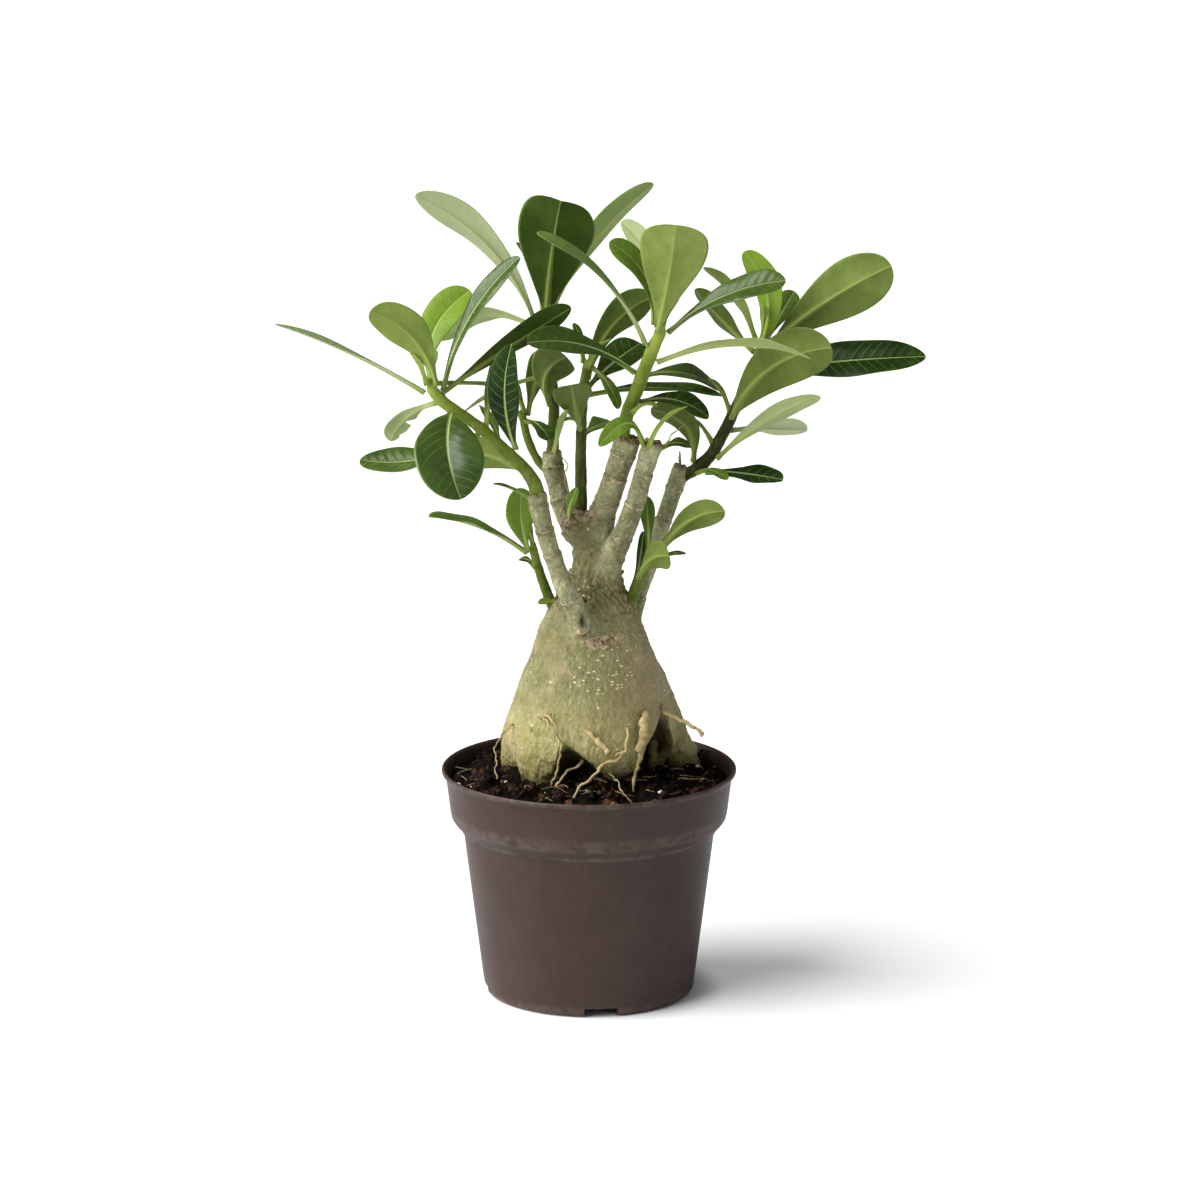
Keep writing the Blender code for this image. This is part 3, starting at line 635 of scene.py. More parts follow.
def specks(at, scale, size, share):
    return placed(SPECKS, at, Scale=scale, Size=size, Share=share)


def grained(at, scale, fine):
    return placed(GRAIN, at, Scale=scale, Fine=fine)


def material(name, build, **shader_values):
    """A material whose constant values sit on the shader.

    From the object's coordinates, build makes the colour, the roughness, a height with its depth in metres
    and, for a glossy surface, the weight of its coat.
    """
    made = bpy.data.materials.new(name)
    made.use_nodes = True
    tree = made.node_tree
    shader = tree.nodes["Principled BSDF"]
    for key, value in shader_values.items():
        shader.inputs[key.replace("_", " ").title().replace("Ior", "IOR")].default_value = value
    colour, rough, height, depth, *coat = build(node("TexCoord", {}, "Object", tree))
    normal = node("Bump", {"Height": height, "Distance": depth, "Strength": 1.0})
    fields = {"Base Color": colour, "Roughness": rough, "Normal": normal} | dict(zip(["Coat Weight"], coat))
    for key, field in fields.items():
        tree.links.new(field.socket, shader.inputs[key])
    return made


def leaf_nodes(at):
    """Green blade: dark above and paler below, with a pale midrib and slanting side veins.

    Along the blade, a side vein stands at y = gap n + slant |x| + curve x^2, shifted on one half.
    """
    across, along, part, rim, under = attributes(at, "across", "along", "part", "rim", "under")
    tone, gold, gloss = attributes(at, "tone", "gold", "gloss")
    x = abs(across)
    wander = noise(at, 120.0, 2.0) * 0.7 - 0.35
    count = (along - (x * VEIN_SLANT + x ** 2 * VEIN_CURVE) + wander) / VEIN_GAP
    phase = (count + across.math("GREATER_THAN", 0.0) * VEIN_SHIFT).math("FRACT")
    to_vein = abs(phase - 0.5)
    shown = rim.ramp(0.97, 0.7) * part.ramp(0.06, 0.2) * noise(at, 60.0, 2.0).ramp(0.3, 0.6, 0.25, 1.0)
    vein = to_vein.ramp(0.05, 0.01) * shown
    to_rib = x / part.ramp(0.0, 1.0, 0.75, 0.16)
    midrib = to_rib.ramp(1.15, 0.6)

    deep = mottled(at, 55.0, (22, 38, 12), (32, 52, 16), (46, 70, 24))
    light = mottled(at, 55.0, (94, 120, 46), (112, 138, 56), (130, 154, 70))
    top = mixed(tone, deep, light)
    # The palest leaves' upper side goes pale grey-green: their own paleness with painted sheen over it.
    top = mixed(tone.ramp(0.8, 1.0), top, (166, 178, 138))
    top = mixed(vein * 0.5, top, (134, 156, 92))
    top = mixed(midrib * 0.85, top, (160, 178, 110))
    dark_back = mottled(at, 45.0, (46, 62, 14), (54, 72, 18), (64, 84, 24))
    olive_back = mottled(at, 45.0, (124, 139, 68), (136, 151, 77), (149, 163, 90))
    back = mixed(tone.ramp(0.0, 0.62), dark_back, olive_back)
    back = mixed(tone.ramp(0.6, 1.0), back, (176, 186, 146))
    back = mixed(vein * 0.12, back, (88, 104, 50))
    back = mixed(to_rib.ramp(2.6, 0.8) * 0.5, back, (150, 166, 84))
    blade = mixed(under, top, back)
    golden = mixed(midrib.math("MAXIMUM", vein * 0.5), (128, 160, 46), (168, 190, 92))
    blade = mixed(gold * 0.75, blade, golden)
    blade = mixed(rim.ramp(0.93, 0.995) * 0.3, blade, (146, 162, 100))
    blade = mixed(part.ramp(0.1, 0.0) * 0.6, blade, (128, 144, 62))
    blade = mixed(specks(at, 170.0, 0.07, 0.16) * 0.4, blade, (120, 110, 60))

    cloud = noise(at, 90.0, 4.0)
    rough = under * 0.2 + cloud * 0.16 + 0.24
    sunk = to_vein.ramp(0.2, 0.02) * shown * -0.5 + midrib * -1.2
    height = grained(at, 1500.0, 0.5) * 0.35 + sunk * under.ramp(0.0, 1.0, 1.0, -0.8)
    coat = gloss * under.ramp(1.0, 0.0) * cloud.ramp(0.25, 0.6, 0.6, 1.0)
    return blade, rough, height, 0.00009, coat


def bark_nodes(at):
    """Grey-green living bark, yellower near the soil, with pale flecks, wrinkles, scars, crust and painted
    shade in hollows.
    """
    sideways, height = millimetres(at, "X"), millimetres(at, "Z")
    branch, scar, hollow, flecked = attributes(at, "branch", "scar", "hollow", "flecked")
    upper = mottled(at, 48.0, (105, 102, 66), (129, 126, 86), (155, 152, 114))
    green = mottled(at, 60.0, (106, 102, 60), (124, 119, 74), (144, 138, 92))
    lower = mottled(at, 52.0, (132, 125, 70), (159, 152, 97), (188, 181, 134))
    limbs = mottled(at, 90.0, (108, 110, 74), (140, 141, 102), (178, 176, 140))
    cloud = noise(at, 26.0, 3.0, 0.6)
    trunk = mixed(cloud.ramp(0.47, 0.62) * 0.85, upper, green)
    wander = cloud * 26.0 + height
    trunk = mixed(wander.ramp(150.0, 126.0) * 0.85, trunk, lower)
    trunk = mixed(wander.ramp(122.0, 106.0) * 0.5, trunk, (96, 90, 36))
    tan = noise(at, 40.0, 3.0, 0.6, 0.6).ramp(0.56, 0.68)
    trunk = mixed(tan * height.ramp(165.0, 140.0) * 0.55, trunk, (180, 158, 120))
    bark = mixed(branch, trunk, limbs)
    weathered = sideways.ramp(2.0, 22.0) * branch.ramp(0.6, 0.1) * height.ramp(108.0, 122.0)
    bark = mixed(weathered * 0.55, bark, (170, 154, 116))

    upright = stretched(at, (1.0, 1.0, 0.62))
    streaks = noise(upright, 520.0, 3.0, 0.6, 0.9)
    bark = mixed(streaks.ramp(0.53, 0.64) * 0.22, bark, (188, 182, 146))
    bark = mixed(streaks.ramp(0.47, 0.38) * 0.2, bark, (74, 70, 42))
    zone = flecked.ramp(0.1, 0.55).math("MAXIMUM", branch * 0.35)
    flecks = specks(stretched(at, (1.0, 1.0, 1.7)), 520.0, 0.45, 0.32) * zone
    pale = flecks.math("MAXIMUM", specks(at, 260.0, 0.22, 0.12) * branch.ramp(0.9, 0.2) * 0.8)
    bark = mixed(pale * 0.95, bark, (232, 220, 172))
    bark = mixed(specks(at, 120.0, 0.07, 0.3) * 0.85, bark, (58, 44, 26))
    crust = mottled(at, 560.0, (80, 62, 40), (184, 162, 124), (240, 228, 194))
    bark = mixed((noise(at, 420.0) * 0.9 + scar).ramp(0.72, 1.05), bark, crust)
    # Painted shade, near black, in the carved hollows and sunken marks; on cut ends and raised marks it is
    # their dark crust.
    bark = mixed(hollow * 0.92, bark, (26, 19, 10))
    soiled = (noise(at, 160.0) * 12.0 + height).ramp(106.0, 97.0)
    bark = mixed(soiled * 0.6, bark, (70, 56, 28))

    rough = scar * 0.25 + streaks * 0.25 + 0.42
    rougher = height.ramp(150.0, 172.0).math("MAXIMUM", height.ramp(118.0, 100.0)) - branch * 1.2
    bumps = streaks * (rougher * 0.85 + 0.65) + pale * 0.4 + grained(upright, 620.0, 0.45) * 0.5
    bumps = noise(at, 900.0) * (scar * 2.5) + bumps
    return bark, rough, bumps, 0.0012


def stem_nodes(at):
    """Smooth young stem: fresh green, darker where its tone is low, with faint streaks and leaf scars."""
    tone, scar = attributes(at, "tone", "scar")
    fresh = mottled(at, 80.0, (96, 112, 34), (116, 134, 44), (138, 154, 62))
    dark = mottled(at, 80.0, (36, 40, 16), (46, 52, 20), (62, 68, 30))
    green = mixed(tone, dark, fresh)
    green = mixed(tone.ramp(0.8, 0.95) * 0.75, green, (162, 180, 78))
    streaks = noise(stretched(at, (1.0, 1.0, 0.2)), 600.0, 2.0)
    green = mixed(streaks.ramp(0.5, 0.7) * 0.25, green, (140, 146, 84))
    green = mixed(specks(at, 420.0, 0.2, 0.16) * 0.3, green, (150, 150, 100))
    ragged = (noise(at, 500.0) * 0.8 + scar).ramp(0.85, 1.1)
    green = mixed(ragged * 0.7, green, (150, 130, 84))
    return green, streaks * 0.2 + 0.36, streaks * 0.6 + grained(at, 700.0, 0.4), 0.00014


def root_nodes(at):
    """Dry root skin: straw-coloured, browner towards the soil, with rings and fibres."""
    tone, = attributes(at, "tone")
    straw = mottled(at, 190.0, (138, 118, 76), (176, 158, 110), (206, 192, 146))
    green = mottled(at, 120.0, (62, 62, 26), (92, 90, 40), (120, 114, 60))
    colour = mixed(tone, green, straw)
    dirty = (noise(at, 300.0) * 9.0 + millimetres(at, "Z")).ramp(101.0, 95.0)
    colour = mixed(dirty * 0.55, colour, (110, 82, 48))
    rings = noise(stretched(at, (0.6, 0.6, 2.0)), 700.0, 3.0, 0.6)
    colour = mixed(rings.ramp(0.56, 0.7) * 0.4, colour, (120, 88, 52))
    return colour, rings * 0.3 + 0.5, rings, 0.0003


def soil_nodes(at):
    """Damp dark potting mix with crumbs of brown bark and pale grit in it."""
    mix = mottled(at, 170.0, (6, 4, 3), (16, 11, 8), (38, 25, 17))
    crumb = specks(at, 420.0, 0.4, 0.25)
    mix = mixed(crumb * 0.4, mix, (66, 44, 30))
    mix = mixed(specks(at, 520.0, 0.26, 0.035) * 0.8, mix, (196, 186, 168))
    return mix, noise(at, 300.0) * 0.4 + 0.55, crumb * 0.3 + grained(at, 520.0, 0.6), 0.0012


def chip_nodes(at):
    """Bark chips, fibres and grit of the potting mix; tone runs from black-brown over red-brown to straw."""
    tone, = attributes(at, "tone")
    brown = mixed(tone.ramp(0.0, 0.45), (12, 8, 6), (70, 42, 29))
    brown = mixed(tone.ramp(0.45, 0.8), brown, (168, 142, 102))
    brown = mixed(tone.ramp(0.8, 1.0), brown, (236, 232, 222))
    fibre = noise(stretched(at, (1.0, 0.5, 1.6)), 800.0, 4.0, 0.65)
    brown = mixed(fibre.ramp(0.5, 0.35) * 0.6, brown, (18, 12, 9))
    brown = mixed(fibre.ramp(0.55, 0.7) * 0.25, brown, (190, 160, 122))
    return brown, fibre * 0.3 + 0.6, fibre, 0.0005


def pot_nodes(at):
    """Brown moulded plastic: soft satin with faint clouds, fine draw lines, painted highlights along its
    edges and some dust.
    """
    edge, inside = attributes(at, "edge", "inside")
    body = mottled(at, 26.0, (57, 44, 40), (61, 47, 42), (66, 51, 46))
    lines = noise(stretched(at, (1.0, 1.0, 0.04)), 700.0, 2.0, 0.5)
    body = mixed(lines.ramp(0.5, 0.72) * 0.08, body, (92, 76, 68))
    # Painted highlight: the rim, band, shoulder lip and foot edges turn paler in patches.
    painted_edge_highlight = edge * noise(at, 150.0, 4.0, 0.7).ramp(0.35, 0.65)
    body = mixed(painted_edge_highlight * 0.32, body, (122, 108, 100))
    body = mixed(specks(at, 330.0, 0.09, 0.1) * 0.25, body, (120, 106, 95))
    soiled = inside * noise(at, 120.0, 4.0, 0.65).ramp(0.42, 0.62)
    body = mixed(soiled * 0.8, body, (30, 22, 17))
    return body, noise(at, 60.0, 4.0) * 0.2 + 0.34, lines * 0.8 + grained(at, 2200.0, 0.4), 0.00004


LEAF = material("leaf_green", leaf_nodes, subsurface_weight=0.25, subsurface_radius=(0.5, 1.0, 0.2),
                subsurface_scale=0.0012, specular_ior_level=0.08, coat_roughness=0.2)
BARK_SKIN = material("living_bark", bark_nodes, specular_ior_level=0.16)
STEM = material("young_stem", stem_nodes, subsurface_weight=0.15, subsurface_radius=(0.6, 1.0, 0.3),
                subsurface_scale=0.001, specular_ior_level=0.12)
ROOT_SKIN = material("root_skin", root_nodes, specular_ior_level=0.2)
SOIL_MIX = material("potting_mix", soil_nodes, specular_ior_level=0.06)
CHIPS = material("bark_chips", chip_nodes, specular_ior_level=0.1)
PLASTIC = material("pot_plastic", pot_nodes, specular_ior_level=0.2)


# Pot and soil

def rounded(profile, cut, steps):
    """A profile with each inner corner cut back by cut, or by 0.4 of the shorter side, and rounded.

    The curve between the two cut points a and b about the corner c is a(1-t)^2 + 2ct(1-t) + bt^2.
    """
    p = np.array(profile, float)
    before, corner, after = p[:-2], p[1:-1], p[2:]
    size = [np.minimum(cut, 0.4 * np.linalg.norm(q - corner, axis=1))[:, None] for q in (before, after)]
    a, b = corner + unit(before - corner) * size[0], corner + unit(after - corner) * size[1]
    t = np.linspace(0, 1, steps)[None, :, None]
    curve = a[:, None] * (1 - t) ** 2 + 2 * corner[:, None] * t * (1 - t) + b[:, None] * t ** 2
    return np.vstack([p[:1], curve.reshape(-1, 2), p[-1:]])


def filled(profile, step):
    """The profile with points added where two neighbours are more than a step apart."""
    parts = []
    for a, b in zip(profile[:-1], profile[1:]):
        count = max(1, int(np.ceil(np.linalg.norm(b - a) / step)))
        parts.append(a + (b - a) * (np.arange(count) / count)[:, None])
    return np.vstack(parts + [profile[-1:]])


def turned(profile, angles):
    """Rings of a (radius, height) profile at the angles: radius times cosine and sine, and the height."""
    r, z = profile[:, 0, None], profile[:, 1, None]
    return np.stack([r * np.cos(angles), r * np.sin(angles), z + 0 * angles], axis=-1)


def pot():
    """The hollow pot: its rounded profile turned about the vertical axis, with notches in the foot ring."""
    inside = [
        (0, FLOOR_Z), (FOOT_R - 2.6, FLOOR_Z), (FOOT_R - 1.6, FLOOR_Z + 1.2),
        (SHOULDER_R - WALL, SHOULDER_Z + 0.2), (SHOULDER_R - 0.8, SHOULDER_Z + 1.8),
        (BAND_R - 2.1, BAND_Z - 2.4), (BAND_R - WALL, BAND_Z + 0.4),
        (RIM_R - 2.9, POT_H - 4), (RIM_R - 2.1, POT_H - 1.4), (RIM_R - 1.4, POT_H - 0.4),
    ]
    outside = [
        (RIM_R - 0.6, POT_H), (RIM_R, POT_H - 0.6), (RIM_R, POT_H - 1.8), (RIM_R - 1.4, POT_H - 2.9),
        (RIM_R - 1.8, POT_H - 4), (BAND_R, BAND_Z), (BAND_R - 0.5, BAND_Z - 2.4),
        (BAND_R - 1.9, BAND_Z - 4.4),
        (SHOULDER_R + 0.9, SHOULDER_Z + 1.2), (SHOULDER_R + 0.9, SHOULDER_Z + 0.2),
        (SHOULDER_R, SHOULDER_Z - 0.3), (FOOT_R + 0.45, 6.2), (FOOT_R + 0.2, 5.4), (FOOT_R, 2.1),
        (FOOT_R - 1.1, 0.6), (FOOT_R - 2.6, 0), (FOOT_INNER_R, 0), (FOOT_INNER_R, RECESS_Z),
        (BOSS_R, RECESS_Z), (BOSS_R, 0), (0, 0),
    ]
    profile = filled(rounded(inside + outside, 0.5, 4), 2.5)[1:-1]
    half_notch = np.arcsin(NOTCH_WIDTH / 2 / FOOT_R)
    starts = np.radians(NOTCH_TURN) + 2 * np.pi / NOTCH_COUNT * np.arange(NOTCH_COUNT)
    sides = (starts[:, None] + np.array([-1, 1]) * half_notch).reshape(-1)
    soft = np.radians([-0.5, -0.15, 0.15, 0.5])
    angles = np.sort(np.concatenate([np.linspace(0, 2 * np.pi, POT_SIDES, endpoint=False),
                                     (sides[:, None] + soft).reshape(-1) % (2 * np.pi)]))
    rings = turned(profile, angles)
    from_notch = np.abs((angles[:, None] - starts + np.pi) % (2 * np.pi) - np.pi).min(axis=1)
    lift = NOTCH_H * ramp(from_notch, half_notch + np.radians(0.3), half_notch - np.radians(0.3))
    foot = (profile[:, 0] > FOOT_INNER_R - 1) & (profile[:, 1] < NOTCH_H)
    rings[foot, :, 2] = np.maximum(rings[foot, :, 2], lift)
    out_of_round = 0.0012 * np.cos(2 * angles + 0.6)[None, :, None]
    rings[..., :2] *= 1 + out_of_round * (profile[:, 1] / POT_H)[:, None, None]
    shape = skin(rings, (0, 0, FLOOR_Z), (0, 0, 0))
    # Corners of the profile whose edges take the pot's painted highlight.
    corners = [
        (RIM_R, POT_H - 0.6), (RIM_R - 0.6, POT_H), (RIM_R, POT_H - 1.8), (BAND_R, BAND_Z),
        (BAND_R - 0.5, BAND_Z - 2.4), (SHOULDER_R + 0.9, SHOULDER_Z + 0.7), (FOOT_R, 2.1),
        (FOOT_R - 1.1, 0.6),
    ]
    edge = np.append(bell(nearest(profile, corners), 0.9).repeat(len(angles)), [0, 0])
    inner = np.arange(len(profile)) < np.argmax(profile[:, 1])
    within = np.where(inner, ramp(profile[:, 1], POT_H + 1, POT_H - 5), 0)
    within = np.append(within.repeat(len(angles)), [1, 0])
    made = piece("pot_shell", shape, PLASTIC, {"edge": edge, "inside": within}, ["pot"])
    cut_drains(made)


def cut_drains(made):
    """Cuts the drain slots through the pot's floor."""
    bm = bmesh.new()
    for n in range(DRAIN_COUNT):
        turn = np.radians(NOTCH_TURN + 360 / DRAIN_COUNT * (n + 0.5))
        slot = bmesh.ops.create_cube(bm, size=1)["verts"]
        bmesh.ops.scale(bm, verts=slot, vec=[size * MM for size in DRAIN_SIZE])
        bmesh.ops.translate(bm, verts=slot, vec=(DRAIN_R * MM, 0, FLOOR_Z * MM))
        bmesh.ops.rotate(bm, verts=slot, cent=(0, 0, 0), matrix=Matrix.Rotation(turn, 3, "Z"))
    mesh = bpy.data.meshes.new("drain_cutter")
    bm.to_mesh(mesh)
    bm.free()
    cutter = in_scene("drain_cutter", mesh)
    drains = made.modifiers.new("Drains", "BOOLEAN")
    drains.operation = "DIFFERENCE"
    drains.object = cutter
    made.data = evaluated(made)
    made.modifiers.clear()
    bpy.data.objects.remove(cutter)


def mound_height(x, y):
    """Height of the potting mix: its mound from the wall up to the trunk, with lumps of three sizes."""
    r = np.hypot(x, y)
    flat = np.stack([x, y, 0 * x], axis=-1).reshape(-1, 3)
    lumps = 1.1 * waves(flat, 13, 41) + 0.7 * waves(flat, 5, 42) + 0.35 * waves(flat, 2.2, 43)
    z = np.interp(r, *np.array(SOIL_MOUND).T)
    return z + lumps.reshape(r.shape) * ramp(r, 57.5, 52) - 0.4


def soil():
    """The potting mix: its mound on a grid of radius and angle, closed by the pot's inner profile turned."""
    wall = FOOT_R - 1.9
    side = np.array([
        (BAND_R - WALL - 0.3, BAND_Z + 0.6), (BAND_R - 2.4, BAND_Z - 2.1),
        (SHOULDER_R - 1.1, SHOULDER_Z + 2.1), (SHOULDER_R - WALL - 0.3, SHOULDER_Z + 0.2),
        (wall, FLOOR_Z + 1.5), (wall - 1, FLOOR_Z + 0.3),
    ])
    angles = np.linspace(0, 2 * np.pi, SOIL_SIDES, endpoint=False)
    top = turned(np.stack([np.linspace(0.6, 56.4, 86), np.zeros(86)], axis=-1), angles)
    top[..., 2] = mound_height(top[..., 0], top[..., 1])
    rings = np.concatenate([top, turned(side, angles)])
    shape = skin(rings, (0, 0, 94), (0, 0, FLOOR_Z + 0.3))
    piece("soil_bed", shape, SOIL_MIX, {}, ["soil"])


def crumbs(name, places, sizes, tone, rng):
    """A piece of many small lumps: a rounded box of 26 points for each, stretched, dented and turned."""
    axis = np.array([-1.0, 0.0, 1.0])
    grid = np.array([(x, y, z) for x in axis for y in axis for z in axis])
    kept = np.abs(grid).max(axis=1) > 0.5
    number = np.cumsum(kept) - 1
    box = grid[kept]
    quads = []
    for fixed in range(3):
        a, b = [k for k in range(3) if k != fixed]
        for level in (0, 2):
            for i in range(2):
                for j in range(2):
                    loop = []
                    for di, dj in ((0, 0), (1, 0), (1, 1), (0, 1)):
                        spot = [0, 0, 0]
                        spot[fixed], spot[a], spot[b] = level, i + di, j + dj
                        loop.append(number[spot[0] * 9 + spot[1] * 3 + spot[2]])
                    flip = (level == 0) != (fixed == 1)
                    quads.append(loop[::-1] if flip else loop)
    quads = np.array(quads)
    box = box / np.linalg.norm(box, axis=1, keepdims=True) ** 0.6
    count = len(places)
    lumps = box[None] * (1 + rng.uniform(-0.24, 0.24, (count, len(box), 3))) * sizes[:, None] / 2
    spin, _ = np.linalg.qr(rng.normal(size=(count, 3, 3)))
    spin[np.linalg.det(spin) < 0, :, 0] *= -1
    points = np.einsum("nij,nkj->nki", spin, lumps) + places[:, None]
    faces = (quads[None] + (np.arange(count) * len(box))[:, None, None]).reshape(-1, 4)
    shape = points.reshape(-1, 3), faces.tolist()
    piece(name, shape, CHIPS, {"tone": tone.repeat(len(box))})


def scattered(count, seed, sunk, inner=6.0, outer=54.5):
    """Places on the potting mix, clear of the trunk."""
    rng = np.random.default_rng(seed)
    r = np.sqrt(rng.uniform(inner ** 2, outer ** 2, count * 3))
    turn = rng.uniform(0, 2 * np.pi, count * 3)
    x, y = r * np.cos(turn), r * np.sin(turn)
    places = np.stack([x, y, mound_height(x, y) - sunk], axis=-1)
    clear = caudex_field(places)["distance"] > 0.6
    return places[clear][:count], rng


def lump_sizes(rng, count, length, least, most):
    """Sizes of lumps: a length for each, times a part of it along each of the lump's own three axes."""
    return rng.uniform(*length, (count, 1)) * rng.uniform(least, most, (count, 3))


def potting_bits():
    """Bark chips, crumbs, fibres and grit lying on the potting mix."""
    places, rng = scattered(300, 51, 0.2)
    count = len(places)
    sizes = lump_sizes(rng, count, (1.6, 4.6), (0.7, 0.5, 0.3), (1.5, 0.9, 0.7))
    tone = np.where(rng.random(count) < 0.2, rng.uniform(0.3, 0.6, count), rng.uniform(0.0, 0.28, count))
    crumbs("chips_small", places, sizes, tone, rng)
    places, rng = scattered(46, 52, 0.6, 20, 53)
    count = len(places)
    sizes = lump_sizes(rng, count, (5, 9), (0.9, 0.45, 0.28), (1.3, 0.7, 0.5))
    places = np.vstack([places, [(17.5, -24, 94.6), (-44, -14, 92.4), (46, 12, 92.4)]])
    sizes = np.vstack([sizes, [(6.6, 5.6, 5), (13, 5, 3.5), (14, 7, 4)]])
    tone = np.append(rng.uniform(0.02, 0.26, count), [0.42, 0.1, 0.14])
    crumbs("chips_large", places, sizes, tone, rng)
    places, rng = scattered(24, 53, -0.3, 24, 54)
    sizes = lump_sizes(rng, len(places), (0.8, 2.0), 0.7, 1.1)
    crumbs("grit", places, sizes, rng.uniform(0.86, 1.0, len(places)), rng)
    places, rng = scattered(95, 54, -0.6, 20, 54)
    shapes, tones = [], []
    for place in places:
        turn, bend, half = rng.uniform(0, 2 * np.pi), rng.uniform(-3, 3), rng.uniform(1.5, 6)
        along = np.array([np.cos(turn), np.sin(turn), rng.uniform(-0.12, 0.2)])
        aside = np.cross(along, UP)
        t = np.linspace(-1, 1, 9)[:, None]
        centre = place + along * half * t + aside * bend * t ** 2 + UP * 0.7 * (1 - t ** 2)
        centre[:, 2] = np.minimum(centre[:, 2], POT_H + 2)
        radius = rng.uniform(0.1, 0.27) * (1 - 0.5 * t ** 2)
        fibre = tube(np.hstack([centre, radius]), 6)
        shapes.append(fibre)
        tones.append(np.full(len(fibre[0]), rng.choice([0.35, 0.6, 0.75, 0.85])))
    piece("fibres", joined(shapes), CHIPS, {"tone": np.concatenate(tones)})


# Trunk, roots and shoots

def to_limb(points, path):
    """Distance to a limb, direction away from its axis and height on its axis, by its nearest round cone."""
    best = np.full(len(points), 99.0)
    away = np.tile(UP, (len(points), 1))
    axis_z = np.zeros(len(points))
    reach = path[:, 3].max() + 9
    low, high = path[:, :3].min(axis=0) - reach, path[:, :3].max(axis=0) + reach
    close = np.all((points > low) & (points < high), axis=1)
    if not close.any():
        return best, away, axis_z
    p = points[close]
    d, g, h = best[close], away[close], axis_z[close]
    for a, b in zip(path[:-1], path[1:]):
        run = b[:3] - a[:3]
        t = clamp((p - a[:3]) @ run / (run @ run))
        foot = a[:3] + t[:, None] * run
        spoke = p - foot
        gap = np.linalg.norm(spoke, axis=1) - (a[3] + (b[3] - a[3]) * t)
        nearer = gap < d
        d = np.where(nearer, gap, d)
        g = np.where(nearer[:, None], unit(spoke), g)
        h = np.where(nearer, foot[:, 2], h)
    best[close], away[close], axis_z[close] = d, g, h
    return best, away, axis_z


def to_trunk(points):
    """Distance to the turned trunk: the gap to its profile at that height, shortened by its slope."""
    profile = smooth_path([(r, 0, z) for r, z in TRUNK_PROFILE[::-1]], 6)
    z = np.linspace(89.2, 175.8, 300)
    r = np.interp(z, np.maximum.accumulate(profile[:, 2]), profile[:, 0])
    slope = np.gradient(r, z)
    flat = points[:, :2] - (TRUNK_X, 0)
    radius = np.linalg.norm(flat, axis=1)
    level = np.clip(points[:, 2], z[0], z[-1])
    lean = np.clip(np.interp(level, z, slope), -2.5, 2.5)
    shorten = 1 / np.sqrt(1 + lean ** 2)
    beyond = points[:, 2] - level
    distance = (radius - np.interp(level, z, r)) * shorten + np.abs(beyond)
    away = np.column_stack([flat / np.maximum(radius, 1e-6)[:, None], -lean]) * shorten[:, None]
    away[:, 2] += np.sign(beyond)
    return distance, unit(away)


CAUDEX_LIMBS = {key: smooth_path(points, 4) for key, points in (ROOT_LEGS | BRANCHES).items()}
# The hollows are worked out in a space pressed flat from front to back, so each is deeper than it is wide.
FLATTENED = np.array([1, 0.5, 1])
HOLLOW_PATHS = [smooth_path(np.array(points) * (*FLATTENED, 1), 3) for points in LEG_HOLLOWS.values()]


def clipped(distance, away, other, heading, blend):
    """A distance and its direction, cut where another distance is larger, with the edge rounded.

    The distance is k log(exp(a / k) + exp(b / k)), with k the blend.
    """
    share = (1 / (1 + np.exp(np.clip((distance - other) / blend, -40, 40))))[:, None]
    return blend * np.logaddexp(distance / blend, other / blend), unit(away * (1 - share) + heading * share)


def caudex_field(points):
    """The woody body as a field: its trunk and limbs blended, with the branches cut off square at their ends.

    The distance is -k log(sum of exp(-d / k)) over the parts' distances d, with k the blend.
    """
    parts = [to_trunk(points)]
    ring, cut = np.zeros(len(points)), np.zeros(len(points))
    shares = [0.0]
    for key, path in CAUDEX_LIMBS.items():
        distance, away, axis_z = to_limb(points, path)
        if key in BRANCHES:
            end, heading = path[-1, :3], unit(path[-1, :3] - path[-2, :3])
            past = (points - end) @ heading
            cut = np.maximum(cut, ramp(past, -1.6, -0.2) * ramp(distance, 4, 1))
            blunt = NECK_BLUNT if key in ("neck", "knob") else LIMB_BLUNT
            distance, away = clipped(distance, away, past, heading, blunt)
        for level in RING_SCARS.get(key, ()):
            beside = axis_z - level
            mark = bell(beside, 0.9) - 0.9 * bell(beside - 1.1, 0.5)
            ring += np.where(distance < 1.5, mark, 0)
        parts.append((distance, away))
        shares.append(0.0 if key in ROOT_LEGS or key == "neck" else 1.0)
    distances = np.stack([d for d, _ in parts])
    least = distances.min(axis=0)
    weights = np.exp(-(distances - least) / BLEND)
    total = weights.sum(axis=0)
    away = unit(sum(w[:, None] * g for w, (_, g) in zip(weights, parts)))
    branch = (weights * np.array(shares)[:, None]).sum(axis=0) / total
    whole = least - BLEND * np.log(total)
    distance = whole
    for path in HOLLOW_PATHS:
        outside, out_of, _ = to_limb(points * FLATTENED, path)
        out_of = out_of * FLATTENED
        steep = np.linalg.norm(out_of, axis=1)
        distance, away = clipped(distance, away, -outside / steep, -out_of / steep[:, None], CARVE_BLEND)
    return {"distance": distance, "away": away, "branch": branch, "ring": ring, "cut": cut, "depth": -whole}


